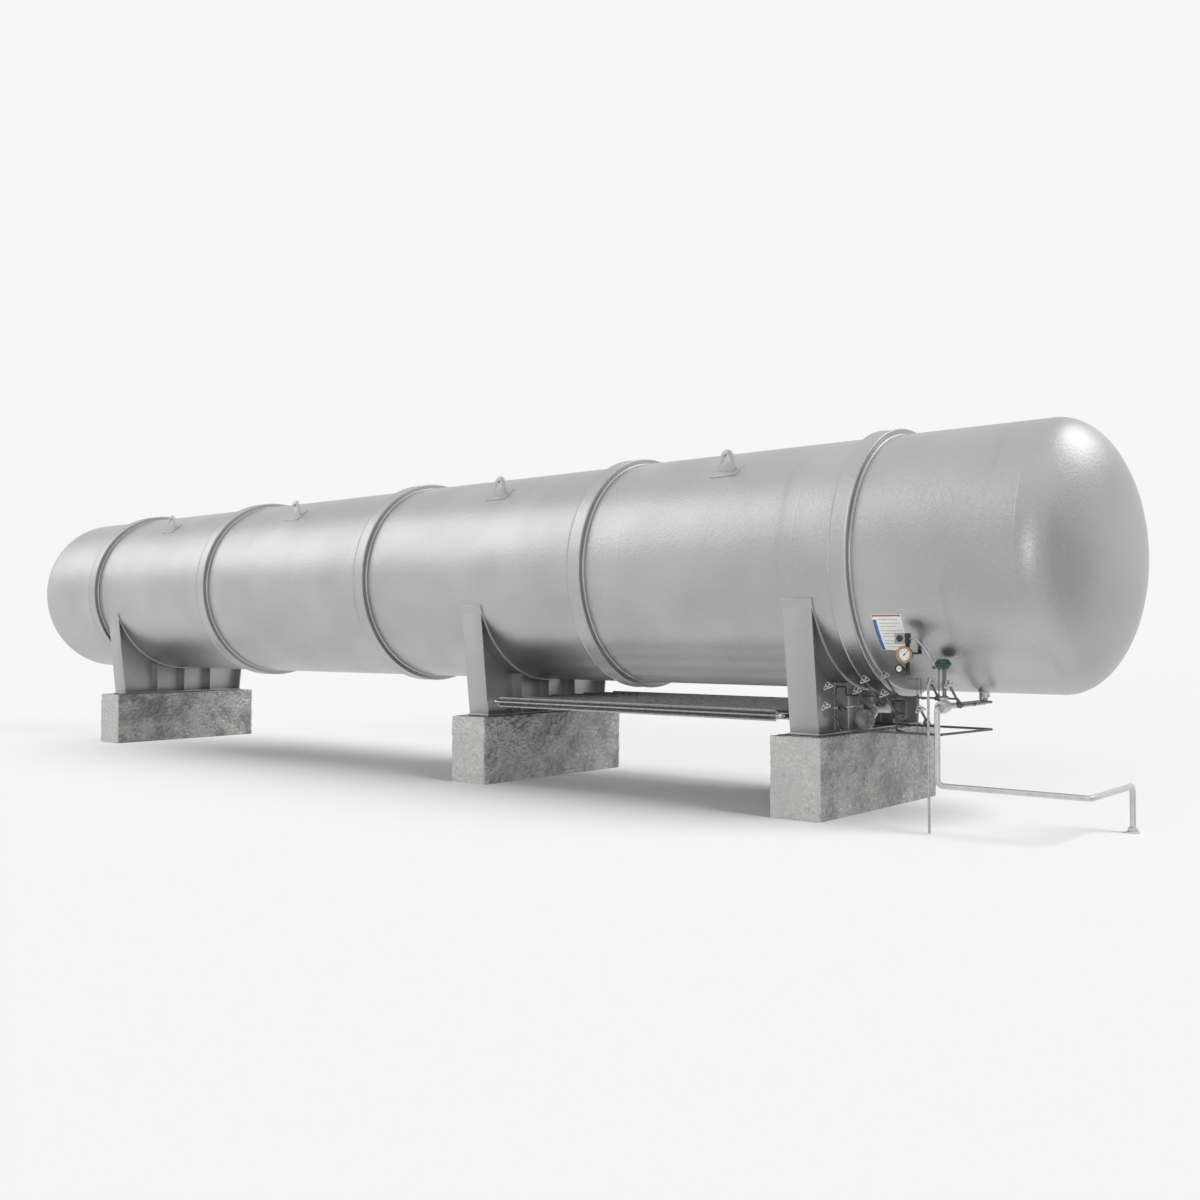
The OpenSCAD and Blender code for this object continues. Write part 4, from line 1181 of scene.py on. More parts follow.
def valve(shape, at, reach, ways):
    """Body, ports, bonnet, stem tube, gland and end nut of one valve."""
    below = reach - HUB_H / 2 - PIN_ROOM
    above = reach + HUB_H / 2 + PIN_ROOM
    gland = below - GLAND_H
    lathe(shape, BODY_LINE, aim(at, STEM_WAY), 28)
    for (start, end), radius, sides in (
            (BONNET_AT, BONNET_R, HEX), (COLLAR_AT, COLLAR_R, 20), ((0, gland), STEM_R, 18),
            ((gland - SLEEVE_H, gland), SLEEVE_R, 18), ((gland, below), GLAND_R, HEX),
            ((above, above + END_NUT_H), END_NUT_R, HEX)):
        rod(shape, at + STEM_WAY * start, at + STEM_WAY * end, radius, sides)
    rod(shape, at + STEM_WAY * below, at + STEM_WAY * above, PIN_R, 16, PIN_EDGE)
    for way in ways:
        rod(shape, at + way * PORT_AT[0], at + way * PORT_AT[1], PORT_R * 0.86, 20)
        rod(shape, at + way * PORT_NUT_AT, at + way * PORT_LEN, PORT_R * 1.14, HEX)


bodies = bmesh.new()
for at, share, ways in zip(valve_at, STEM_SHARES, VALVE_WAYS):
    valve(bodies, at, STEM_LEN * share, ways)
settle("cold_valves", bodies, "valve_steel", ["valve_bodies"])

# %% [markdown]
# The handles are flat three-cornered castings with a hole near each corner and a boss on the stem. The
# outline is three arcs joined by straight sides, filled by the flat-curve helper with a soft rim. The
# walls of the holes are painted near black as shade, so the holes read dark. Every handle turns on its
# own joint, so each is a piece that rides on its own body.

# %% Cut the nine handles
HANDLE_REACH = 0.050
CORNERS_DEG = (0, 120, 240)
CORNER_R = 0.014
CORNER_STEPS = 8
HANDLE_T = 0.012
HANDLE_EDGE = 0.0035
HANDLE_HOLE_R = 0.013
HOLE_REACH = 0.035
HOLE_SHADE_RIM = 0.0004
HUB_EDGE = 0.002
HUB_BORE_R = PIN_R + 0.0001
HUB_LINE = ((HUB_BORE_R, -HUB_H / 2), (HUB_R - HUB_EDGE, -HUB_H / 2), (HUB_R, HUB_EDGE - HUB_H / 2),
            (HUB_R, HUB_H / 2 - HUB_EDGE), (HUB_R - HUB_EDGE, HUB_H / 2), (HUB_BORE_R, HUB_H / 2))


def handle_loops():
    """Outline and holes of a handle, in its own flat drawing."""
    outline = []
    holes = []
    for turn in CORNERS_DEG:
        way = Vector((math.cos(math.radians(turn)), math.sin(math.radians(turn))))
        outline += arc(way * HANDLE_REACH, CORNER_R, turn - 60, turn + 60, CORNER_STEPS)
        holes.append(arc(way * HOLE_REACH, HANDLE_HOLE_R, 0, 360, 24)[:-1])
    return [outline] + holes


turned = Matrix((ALONG, STEM_WAY.cross(ALONG), STEM_WAY)).transposed().to_4x4()
hole_spots = [Vector((HOLE_REACH, 0)) @ Matrix.Rotation(math.radians(turn), 2) for turn in CORNERS_DEG]
for number, at in enumerate(handle_at, start=1):
    own = Matrix.Translation(at) @ turned
    handle = bmesh.new()
    cut_plate(handle, handle_loops(), HANDLE_T, own, HANDLE_EDGE)
    # The walls of the holes are marked for painted shade, so the holes read dark.
    soot = handle.verts.layers.float.new("soot")
    for vert in handle.verts:
        flat = (own.inverted() @ vert.co).to_2d()
        vert[soot] = float(any((flat - spot).length < HANDLE_HOLE_R + HOLE_SHADE_RIM for spot in hole_spots))
    lathe(handle, HUB_LINE, own, 28, closed=True)
    settle(f"turning_handle_{number}", handle, "handle_paint", [f"valve_handle_{number}"],
           body=f"handle_{number}")

# %% [markdown]
# A ring of bolts is the plainest case for nodes: one bolt, set on the points of a circle. The tree takes
# the count, the radius of the ring and the size of a bolt, and serves the strainer's cover, the
# regulator's flanges and the green casing alike.

# %% A tree for rings of bolts
bolt_tree, size_of = start_tree("bolt_ring", {"Count": "Int", "Ring Radius": "Float",
                                              "Bolt Radius": "Float", "Bolt Height": "Float"})
maker = size_of["Geometry"]
circle = maker.add("GeometryNodeMeshCircle", None,
                   {"Vertices": size_of["Count"], "Radius": size_of["Ring Radius"]})


def bolt_part(sides, wide, tall):
    """A cylinder sized by shares of the bolt's radius and height."""
    return maker.add("GeometryNodeMeshCylinder", None,
                     {"Vertices": sides, "Radius": size_of["Bolt Radius"] * wide,
                      "Depth": size_of["Bolt Height"] * tall})


head, washer, shank = bolt_part(HEX, 1.0, 1.0), bolt_part(14, 1.35, 0.3), bolt_part(10, 0.5, 1.7)
one_bolt = maker.add("GeometryNodeJoinGeometry", None, {"Geometry": [head, washer, shank]})
bolted = maker.add("GeometryNodeInstanceOnPoints", None, {"Points": circle, "Instance": one_bolt})
end_tree(bolted, size_of["Finish"])


def bolt_ring(shape, at, way, count, ring_r, bolt_r, bolt_h, turn=0):
    """Bolts round a flange, with their middle at this place and their shanks along this way."""
    values = {"Count": count, "Ring Radius": ring_r, "Bolt Radius": bolt_r, "Bolt Height": bolt_h,
              "Finish": finishes["valve_steel"]}
    place = aim(at, way) @ Matrix.Rotation(math.radians(turn), 4, "Z")
    take_in(shape, grow(bolt_tree, bpy.data.meshes.new("bolt_seed"), values), place)


print("bolt tree nodes:", len(bolt_tree.nodes))

# %% [markdown]
# The strainer is a cast body with a round cover towards the front, a slanted neck up to its barrel and a
# tapered end to the inlet pipe. Its forms are all turned, so lathes, rods and one swept pipe make them,
# and a ball hides the corner where the neck changes its way.

# %% Cast the strainer
SMALL_R = 0.01345
SMALL_BEND = 0.034
COVER_T = 0.025
BARREL_R = 0.062
BARREL_TAIL = 0.100
COLLAR_RISE = 0.005
NECK_R = BARREL_R * 0.84
NECK_LEN = 0.095
NECK_RIM = 0.012
BALL_R = NECK_R * 1.08
BALL_STEPS = 14
CONE_LEN = 0.125
INLET_GAP = 0.068
DRUM_R = 0.085

cover_y = -JACKET_R * 0.6
cover_z = UNDER_Z * 0.785
barrel_y = -JACKET_R * 0.4133
barrel_z = UNDER_Z * 0.875
neck_x = valve_at[2].x
inlet_x = span("saddle_near")[1].x - BASE_RIM + INLET_GAP
drum_low, drum_high = span("sump_drum")[:2]
drum_x = drum_high.x - DRUM_R
cover_mid = Vector((neck_x, cover_y, cover_z))
knuckle = cover_mid + BACK * (COVER_T + NECK_LEN)
barrel_at = Vector((neck_x, barrel_y, barrel_z))
tip = barrel_at + LEFT * (BARREL_TAIL + CONE_LEN)
barrel_mid = CONE_LEN + BARREL_TAIL
barrel_end = drum_x - DRUM_R * 0.6 - tip.x

strainer = bmesh.new()
neck_line = [(0, -0.002), (NECK_R + NECK_RIM, -0.002), (NECK_R + NECK_RIM, 0.002), (NECK_R, 0.016),
             (NECK_R, NECK_LEN), (0, NECK_LEN)]
lathe(strainer, neck_line, aim(cover_mid + BACK * COVER_T, BACK), 48)
ball_turns = [math.pi * k / BALL_STEPS for k in range(BALL_STEPS + 1)]
lathe(strainer, [(BALL_R * math.sin(t), -BALL_R * math.cos(t)) for t in ball_turns], aim(knuckle, UP), 36)
rod(strainer, knuckle, barrel_at, NECK_R, 36)
barrel_line = [(0, -0.004), (SMALL_R + 0.004, 0), (SMALL_R + 0.006, 0.012),
               (BARREL_R * 0.55, CONE_LEN * 0.55), (BARREL_R * 0.94, CONE_LEN * 0.94), (BARREL_R, CONE_LEN),
               (BARREL_R, barrel_mid - 0.03), (BARREL_R + COLLAR_RISE, barrel_mid - 0.02),
               (BARREL_R + COLLAR_RISE, barrel_mid + 0.02), (BARREL_R, barrel_mid + 0.03),
               (BARREL_R, barrel_end), (0, barrel_end)]
lathe(strainer, barrel_line, aim(tip, ALONG), 40)
first = port(1, LEFT)
inlet = [first, (inlet_x, first.y, first.z), (inlet_x, barrel_y, barrel_z), tip]
pipe(strainer, inlet, SMALL_R, SMALL_BEND, "cast_paint")
third = port(3, DOWN)
rod(strainer, third, (neck_x, third.y, cover_z), SMALL_R)
settle("strainer_body", strainer, "cast_paint", ["strainer"])

# %% [markdown]
# The strainer's cover is a dark disc with a shallow dish in its face. The bolt tree sets the heads of its
# bolts in front of it and the nuts behind.

# %% Bolt the strainer's cover
COVER_R = 0.117
COVER_EDGE = 0.004
COVER_DISH_R = (0.045, 0.052)
COVER_BOLTS, COVER_BOLT_R, COVER_BOLT_H = 8, 0.0085, 0.012

cover = bmesh.new()
cover_line = [(0, COVER_EDGE), (COVER_DISH_R[0], COVER_EDGE), (COVER_DISH_R[1], 0), (COVER_R - COVER_EDGE, 0),
              (COVER_R, COVER_EDGE), (COVER_R, COVER_T - COVER_EDGE), (COVER_R - COVER_EDGE, COVER_T),
              (0, COVER_T)]
lathe(cover, cover_line, aim(cover_mid, BACK), 48)
for away in (-COVER_BOLT_H / 2, COVER_T + COVER_BOLT_H / 2):
    bolt_ring(cover, cover_mid + BACK * away, FRONT, COVER_BOLTS, COVER_R * 0.80, COVER_BOLT_R, COVER_BOLT_H,
              180 / COVER_BOLTS)
settle("strainer_cover", cover, "coil_steel")

# %% [markdown]
# A dark drum with dished ends stands at the right of the strainer, with two hoops and a branch to the
# fifth valve. The branch of the fourth valve has rusted, so it is a piece of its own with its own finish.

# %% Stand the drum and the rusty fitting
DRUM_DISH = 0.030
HOOP_HALF, HOOP_RISE = 0.006, 0.003
drum_h = drum_high.z - drum_low.z

drum = bmesh.new()
dish = arc((DRUM_R - DRUM_DISH, 0), DRUM_DISH, 0, 90, 6)
drum_line = [(0, 0)] + [(x, DRUM_DISH - y) for x, y in reversed(dish)]
drum_line += [(x, drum_h - DRUM_DISH + y) for x, y in dish] + [(0, drum_h)]
drum_foot = Vector((drum_x, barrel_y, drum_low.z))
lathe(drum, drum_line, aim(drum_foot, UP), 40)
for share in (0.30, 0.70):
    hoop = drum_foot + UP * drum_h * share
    rod(drum, hoop - UP * HOOP_HALF, hoop + UP * HOOP_HALF, DRUM_R + HOOP_RISE, 40)
fifth = port(5, BACK)
rod(drum, fifth, (fifth.x, barrel_y, fifth.z), SMALL_R)
settle("dark_drum", drum, "dark_pipe", ["sump_drum"])

rusty = bmesh.new()
fourth = port(4, BACK)
rod(rusty, fourth, (fourth.x, barrel_y, fourth.z), SMALL_R)
rod(rusty, fourth, fourth + BACK * 0.022, SMALL_R * 1.8, HEX)
rod(rusty, fourth + BACK * 0.07, fourth + BACK * 0.098, SMALL_R * 1.7, 20)
settle("rusty_fitting", rusty, "rusty_steel")

# %% [markdown]
# Pipework is straight lengths welded to ready-made bends. Each run is a list of corners swept by the pipe
# tree, and a narrow bead is set where a bend meets the straight. The tangent of half the turn says how
# far from the corner that is.

# %% Runs of pipe with welded bends
MAIN_R = 0.03015
BEAD_RISE = 0.0018
BEAD_WIDE = 0.007
BEAD_EDGE = 0.0016
SEAM_WIDE = 0.008


def welded_run(shape, points, radius, bend, finish, sides=24):
    """A swept pipe with a weld bead at both ends of each bend."""
    points = [Vector(point) for point in points]
    pipe(shape, points, radius, bend, finish, sides)
    for before, corner, after in zip(points, points[1:], points[2:]):
        come = (corner - before).normalized()
        go = (after - corner).normalized()
        back_off = bend * math.tan(come.angle(go) / 2)
        for place, way in ((corner - come * back_off, come), (corner + go * back_off, go)):
            half = way * BEAD_WIDE / 2
            rod(shape, place - half, place + half, radius + BEAD_RISE, sides, BEAD_EDGE)


def pipe_seam(shape, place, way):
    """A weld round a straight length of the main pipe."""
    half = way * SEAM_WIDE / 2
    rod(shape, place - half, place + half, MAIN_R + BEAD_RISE)


def nut(shape, at, way, radius, length=0.016):
    """A hexagon nut on a pipe, centred on this place."""
    half = way * length / 2
    rod(shape, Vector(at) - half, Vector(at) + half, radius * 1.7, HEX)


print("main pipe radius", MAIN_R)

# %% [markdown]
# Liquid leaves through a nozzle in the belly, runs to the regulator at the front and drops to a pipe near
# the ground that ends in its own round foot. The places come from the jacket and from the boxes of the
# solids, so the run meets both.

# %% Lay the main liquid pipe
MAIN_DROP = 0.110
NOZZLE_R = 0.050
NOZZLE_DROP = 0.056
NOZZLE_LINE = ((0, 0), (NOZZLE_R - 0.004, 0), (NOZZLE_R, 0.004), (NOZZLE_R, 0.045),
               (NOZZLE_R + 0.008, 0.056), (NOZZLE_R + 0.008, 0.064), (0, 0.064))
SUPPLY_BEND = 0.046
SUPPLY_SEAMS_Y = (-0.30, -0.55, -0.88)
BOSS_R, BOSS_H = 0.020, 0.034
GROUND_BEND = 0.062
GROUND_Z = 0.490
GROUND_SEAM_SHARES = (0.36, 0.72)
DROP_IN = 0.233
FOOT_R = 0.072
FOOT_H = 0.060
FOOT_LINE = ((0, 0), (FOOT_R - 0.004, 0), (FOOT_R, 0.004), (FOOT_R, 0.018), (FOOT_R - 0.004, 0.022),
             (0.050, 0.024), (0.050, FOOT_H - 0.006), (0.044, FOOT_H), (0, FOOT_H))
REGULATOR_HALF = 0.080
REGULATOR_GAP = 0.012

main_x = span("bottom_nozzle")[2].x
main_z = UNDER_Z - MAIN_DROP
drop_y = DROP_IN - JACKET_R
regulator_y = drop_y + GROUND_BEND + REGULATOR_GAP + REGULATOR_HALF
line_y = barrel_y - 0.10
nozzle_foot = Vector((main_x, 0, UNDER_Z - NOZZLE_DROP))
ground_high = span("ground_run")[1]
end_x, end_y = ground_high.x - FOOT_R, ground_high.y - FOOT_R

nozzle = bmesh.new()
lathe(nozzle, NOZZLE_LINE, aim(nozzle_foot, UP), 36)
settle("belly_nozzle", nozzle, "pipe_paint", ["bottom_nozzle"])

supply = bmesh.new()
supply_way = [nozzle_foot, (main_x, 0, main_z), (main_x, regulator_y + REGULATOR_HALF, main_z)]
welded_run(supply, supply_way, MAIN_R, SUPPLY_BEND, "pipe_paint")
rod(supply, (main_x, line_y, main_z), (main_x, line_y, main_z + BOSS_H), BOSS_R)
for seam_y in SUPPLY_SEAMS_Y:
    pipe_seam(supply, Vector((main_x, seam_y, main_z)), BACK)
settle("supply_line", supply, "pipe_paint", ["supply_pipe"])

ground = bmesh.new()
ground_way = [(main_x, regulator_y - REGULATOR_HALF, main_z), (main_x, drop_y, main_z),
              (main_x, drop_y, GROUND_Z), (end_x, drop_y, GROUND_Z), (end_x, end_y, GROUND_Z),
              (end_x, end_y, FOOT_H)]
welded_run(ground, ground_way, MAIN_R, GROUND_BEND, "pipe_paint")
for share in GROUND_SEAM_SHARES:
    pipe_seam(ground, Vector((main_x + (end_x - main_x) * share, drop_y, GROUND_Z)), ALONG)
lathe(ground, FOOT_LINE, aim((end_x, end_y, 0), UP), 36)
settle("ground_line", ground, "pipe_paint", ["ground_run"])

# %% [markdown]
# The regulator is a globe between two flanges, with a bonnet on top. Globe and flanges are one turned
# profile: half of it is drawn, an arc makes the belly, and the other half is the first one mirrored.

# %% Turn the regulator's globe
GLOBE_R = 0.076
FLANGE_R = 0.062
FLANGE_T = 0.018
FLANGE_EDGE = 0.003
BONNET_H = 0.096
BONNET_LINE = ((0, 0), (0.040, 0), (0.036, 0.050), (0.034, 0.070), (0.034, 0.082), (0.046, 0.084),
               (0.046, BONNET_H), (0, BONNET_H))

globe_at = Vector((main_x, regulator_y, main_z))
flange_in = FLANGE_T - REGULATOR_HALF
globe = bmesh.new()
half_body = [(0, -REGULATOR_HALF), (FLANGE_R - FLANGE_EDGE, -REGULATOR_HALF),
             (FLANGE_R, FLANGE_EDGE - REGULATOR_HALF), (FLANGE_R, flange_in - FLANGE_EDGE),
             (FLANGE_R - FLANGE_EDGE, flange_in), (0.046, flange_in + 0.002), (0.048, flange_in + 0.008)]
rounded = arc((0, 0), GLOBE_R, -40, 40, 10)
other_half = [(radius, -height) for radius, height in reversed(half_body)]
lathe(globe, half_body + rounded + other_half, aim(globe_at, BACK), 44)
lathe(globe, BONNET_LINE, aim(globe_at, UP), 36)
settle("regulator_globe", globe, "cast_paint", ["regulator_body"])

# %% [markdown]
# The diaphragm casing is held above the globe on three rods with nuts, round a spindle, and is painted
# green. It is one turned profile with a lip, and the bolt rings of lip and flanges come from the tree.

# %% Hold the green casing above it
STAND_H = 0.300
STAND_PLATE_R, STAND_PLATE_T = 0.056, 0.014
STAND_RODS_DEG = (90, 210, 330)
STAND_RING, STAND_ROD_R = 0.044, 0.007
STAND_NUT_R, STAND_NUT_H = 0.0125, 0.010
SPINDLE_R, COUPLING_R = 0.009, 0.016
COUPLING_AT = (0.120, 0.165)
CASE_H = 0.108
CASE_R = 0.074
LIP_R = 0.088
LIP_Z = CASE_H / 2
CASE_LINE = ((0, 0), (0.034, 0), (CASE_R * 0.80, 0.006), (CASE_R * 0.95, 0.022), (CASE_R, LIP_Z - 0.010),
             (LIP_R - 0.002, LIP_Z - 0.006), (LIP_R, LIP_Z - 0.004), (LIP_R, LIP_Z + 0.004),
             (LIP_R - 0.002, LIP_Z + 0.006), (CASE_R, LIP_Z + 0.009), (CASE_R * 0.96, CASE_H - 0.026),
             (CASE_R * 0.82, CASE_H - 0.010), (CASE_R * 0.55, CASE_H - 0.002), (0, CASE_H))
CASE_BOLTS, CASE_BOLT_R, CASE_BOLT_H, CASE_BOLT_IN = 10, 0.0048, 0.020, 0.0062
FLANGE_BOLTS, FLANGE_BOLT_R, FLANGE_BOLT_H = 4, 0.0075, 0.010

stand_at = globe_at + UP * BONNET_H
case_at = stand_at + UP * STAND_H
stand = bmesh.new()
rod(stand, stand_at, stand_at + UP * STAND_PLATE_T, STAND_PLATE_R, 36, 0.003)
for turn in STAND_RODS_DEG:
    ring_turn = math.radians(turn)
    spot = stand_at + Vector((math.cos(ring_turn), math.sin(ring_turn), 0)) * STAND_RING
    rod(stand, spot + UP * 0.006, spot + UP * (STAND_H + 0.012), STAND_ROD_R, 16)
    for nut_z in (STAND_PLATE_T, STAND_H - STAND_NUT_H):
        rod(stand, spot + UP * nut_z, spot + UP * (nut_z + STAND_NUT_H), STAND_NUT_R, HEX)
rod(stand, stand_at, case_at + UP * 0.006, SPINDLE_R, 16)
rod(stand, stand_at + UP * COUPLING_AT[0], stand_at + UP * COUPLING_AT[1], COUPLING_R, 20)
settle("regulator_stand", stand, "tube_steel")

casing = bmesh.new()
lathe(casing, CASE_LINE, aim(case_at, UP), 44)
settle("regulator_casing", casing, "regulator_green", ["regulator_actuator"])

flange_bolts = bmesh.new()
bolt_away = flange_in + FLANGE_BOLT_H / 2
for away in (bolt_away, -bolt_away):
    bolt_ring(flange_bolts, globe_at + BACK * away, FRONT, FLANGE_BOLTS, FLANGE_R * 0.80, FLANGE_BOLT_R,
              FLANGE_BOLT_H, 180 / FLANGE_BOLTS)
bolt_ring(flange_bolts, case_at + UP * LIP_Z, UP, CASE_BOLTS, LIP_R - CASE_BOLT_IN, CASE_BOLT_R, CASE_BOLT_H)
settle("regulator_bolts", flange_bolts, "valve_steel")

# %% [markdown]
# Smaller pipes tie the valves together. The first is a dark line behind the upper valves, with a raised
# loop whose far leg has rusted. Short nuts stand where a pipe meets a valve, as on the real fittings.

# %% Bend the upper line
LINE_R, LINE_BEND = 0.011, 0.024
BRANCH_R = 0.0092
LOOP_W = 0.130
LOOP_RISE = 0.095
LOOP_LEG = 0.170
LOOP_JOINT = 0.03

line_z = valve_at[5].z
loop_x = span("upper_line")[0].x + LINE_R
block_top = span("concrete_block_near")[1].z

upper = bmesh.new()
loop_right, loop_top = loop_x + LOOP_W, line_z + LOOP_RISE
loop_joint = Vector((loop_x, line_y, line_z + LOOP_JOINT))
loop_way = [loop_joint, (loop_x, line_y, loop_top), (loop_right, line_y, loop_top),
            (loop_right, line_y, line_z), (main_x, line_y, line_z), (main_x, line_y, main_z + BOSS_H)]
welded_run(upper, loop_way, LINE_R, LINE_BEND, "dark_pipe", 18)
for number in (6, 8):
    start = port(number, BACK)
    meet = (start.x, line_y, line_z)
    rod(upper, start, meet, BRANCH_R, 18)
    nut(upper, start + BACK * 0.008, BACK, BRANCH_R)
    nut(upper, meet, ALONG, LINE_R, 0.030)
settle("loop_line", upper, "dark_pipe", ["upper_line"])

rusty_leg = bmesh.new()
leg_foot = Vector((loop_x, line_y, block_top + LOOP_LEG))
rod(rusty_leg, leg_foot, loop_joint + UP * 0.002, LINE_R, 18)
nut(rusty_leg, loop_joint, UP, LINE_R, 0.026)
rod(rusty_leg, leg_foot, leg_foot + UP * 0.03, LINE_R * 1.5, 18)
settle("rusty_leg", rusty_leg, "rusty_steel")

# %% [markdown]
# The lower ring starts at the second valve, runs round under the bay and ends at the web of the near
# saddle. A feed from the fifth valve and a tee from the seventh join it on the way.

# %% Bend the lower ring
RING_OFF, RING_Y, RING_LIFT, RING_BEND = 0.040, 0.300, 0.033, 0.042
FEED_R, FEED_BEND, FEED_SHARE = 0.0113, 0.03, 0.74
saddle_x = span("saddle_near")[2].x

lower = bmesh.new()
second, feed, tee = port(2, RIGHT), port(5, DOWN), port(7, DOWN)
ring_x = main_x - RING_OFF
ring_end = Vector((saddle_x + PLATE_T / 2, RING_Y, block_top + BASE_T + RING_LIFT))
feed_x = saddle_x + (main_x - saddle_x) * FEED_SHARE
tee_foot = (tee.x, second.y, second.z)
ring_way = [second, (ring_x, second.y, second.z), (ring_x, RING_Y, ring_end.z), ring_end]
welded_run(lower, ring_way, SMALL_R, RING_BEND, "dark_pipe", 20)
feed_way = [feed, (feed.x, feed.y, second.z), (feed_x, second.y, second.z)]
welded_run(lower, feed_way, FEED_R, FEED_BEND, "dark_pipe", 18)
rod(lower, tee, tee_foot, FEED_R, 18)
nut(lower, second + RIGHT * 0.010, ALONG, SMALL_R)
nut(lower, tee_foot, ALONG, SMALL_R, 0.040)
nut(lower, tee + DOWN * 0.010, UP, FEED_R)
settle("lower_ring", lower, "dark_pipe", ["lower_line"])

# %% [markdown]
# Two pipes rise from here: a steel one from the ninth valve back up to the belly, and the long vent riser
# at the front, which bows out round the regulator and leads to the block over the gauges.

# %% Raise the two risers
TURN_Y = -0.350
RISE_OFF = 0.090
RISER_FOOT = 0.010
RISER_BEND, RISER_LEAD = 0.09, 0.070
RISER_OFF, CROOK_OFF, BACK_OFF = -0.027, 0.046, -0.060
KNEE_RISE, CROOK_RISE, BACK_RISE = 0.100, 0.345, 0.505
RISER_CLIPS_Z = (0.55, 1.16)
SEAT_GAP = 0.0003

small = bmesh.new()
ninth = port(9, BACK)
rise_x = main_x + RISE_OFF
rise_top = span("small_pipe")[1].z
small_way = [ninth, (ninth.x, TURN_Y, ninth.z), (rise_x, TURN_Y, ninth.z), (rise_x, TURN_Y, rise_top)]
welded_run(small, small_way, SMALL_R, SMALL_BEND, "stainless", 20)
nut(small, ninth + BACK * 0.010, FRONT, SMALL_R, 0.020)
nut(small, ninth + BACK * 0.32, FRONT, SMALL_R, 0.026)
rod(small, (rise_x, TURN_Y, UNDER_Z + 0.026), (rise_x, TURN_Y, UNDER_Z + 0.040), SMALL_R * 1.8)
settle("riser_pipe", small, "tube_steel", ["small_pipe"])

riser = bmesh.new()
riser_y = span("vent_riser")[2].y
panel_low, panel_high, panel_mid = span("instrument_block")
block_end = panel_high.x + SEAT_GAP
knee = Vector((main_x + RISER_OFF, riser_y, UNDER_Z + KNEE_RISE))
crook = Vector((main_x + CROOK_OFF, riser_y, UNDER_Z + CROOK_RISE))
riser_way = [(knee.x, riser_y, RISER_FOOT), knee, crook,
             (main_x + BACK_OFF, riser_y, UNDER_Z + BACK_RISE),
             (block_end + RISER_LEAD, riser_y, panel_mid.z), (block_end, riser_y, panel_mid.z)]
welded_run(riser, riser_way, SMALL_R, RISER_BEND, "stainless", 20)
for clip_z in RISER_CLIPS_Z:
    nut(riser, (knee.x, riser_y, clip_z), UP, SMALL_R, 0.024)
settle("gauge_riser", riser, "stainless", ["vent_riser"])

# %% [markdown]
# Two round gauges hang on the bracket in front of the jacket. Each is a turned case with a raised bezel,
# a dial set back inside it, marks round the dial and plain numbers. The marks repeat, so a tree sets one
# thin bar on the points of a circle and leaves out those in the open bottom of the scale.

# %% A tree for the marks of a dial
MARK_T = 0.0006

mark_tree, size_of = start_tree("dial_marks", {
    "Count": "Int", "Scale Radius": "Float", "Mark Length": "Float", "Mark Width": "Float",
    "Open Angle": "Float"})
maker = size_of["Geometry"]
circle = maker.add("GeometryNodeMeshCircle", None,
                   {"Vertices": size_of["Count"], "Radius": size_of["Scale Radius"]})
spot_x = maker.add("SeparateXYZ", None, {"Vector": maker.add("GeometryNodeInputPosition")})
spot_y = Field(mark_tree, spot_x.socket.node.outputs["Y"])
turn = maker.math("ARCTAN2", spot_y, spot_x)
from_bottom = maker.math("ABSOLUTE", maker.math("ARCTAN2", spot_x, 0 - spot_y), 0)
size = maker.add("CombineXYZ", None, {"X": size_of["Mark Length"], "Y": size_of["Mark Width"], "Z": MARK_T})
mark = maker.add("GeometryNodeMeshCube", None, {"Size": size})
marks = maker.add("GeometryNodeInstanceOnPoints", None,
                  {"Points": circle, "Selection": from_bottom > size_of["Open Angle"] * 0.5, "Instance": mark,
                   "Rotation": maker.add("CombineXYZ", None, {"Z": turn})})
end_tree(marks, size_of["Finish"])
print("mark tree nodes:", len(mark_tree.nodes))

# %% [markdown]
# A dial's numbers are text made into a mesh, which keeps them sharp at any distance, where a picture of
# them would blur. They stand on a circle, so a point on a circle gets its own helper.

# %% Numbers for a dial
NUMBER_AT, NUMBER_SIZE, NUMBER_T = 0.64, 0.21, 0.0004


def round_spot(radius, degrees):
    """A point on a circle in a flat drawing."""
    return Vector((radius * math.cos(math.radians(degrees)), radius * math.sin(math.radians(degrees)), 0))


def number_plate(shape, words, size, place):
    """Plain digits, centred on this place and a fraction of a millimetre thick."""
    text = bpy.data.curves.new("digits", "FONT")
    text.body = words
    text.size = size
    text.align_x = "CENTER"
    text.align_y = "CENTER"
    text.extrude = NUMBER_T / 2
    take_in(shape, curve_mesh(text), place)


print("numbers stand at", NUMBER_AT, "of the dial's radius")

# %% [markdown]
# The pointer is a flat tapered plate with a round boss. One function makes all of this for a gauge of any
# radius, so the bronze level gauge and the small black one differ only in size, finish and top number.

# %% Make the two gauges
SCALE_OPEN = 90
SCALE_SWING = 360 - SCALE_OPEN
SCALE_START = 270 - SCALE_OPEN / 2
SCALE_STEPS = 6
SCALE_SLACK = 3
MARKS_PER_TURN = round(360 * SCALE_STEPS / SCALE_SWING)
MARK_KINDS = ((MARKS_PER_TURN * 10, 0.07, 0.012), (MARKS_PER_TURN, 0.13, 0.028))
MARK_END = 0.93
READING = 0.66
GAUGE_SIDES = 56
DIAL_SET_BACK = 0.14
DIAL_HALF = 0.001
INK_LIFT = 0.0012
CASE_SHARES = ((0, 0), (0.62, 0), (0.66, 0.05), (0.67, 0.18), (0.86, 0.25), (0.89, 0.32), (0.89, 0.76),
               (0.97, 0.80), (1, 0.86), (1, 0.95), (0.97, 1))
BEZEL_SCREWS_DEG = (30, 150, 270)
POINTER_SHARES = ((0.84, -0.012), (0.84, 0.012), (0, 0.06), (-0.30, 0.07), (-0.30, -0.07), (0, -0.06))
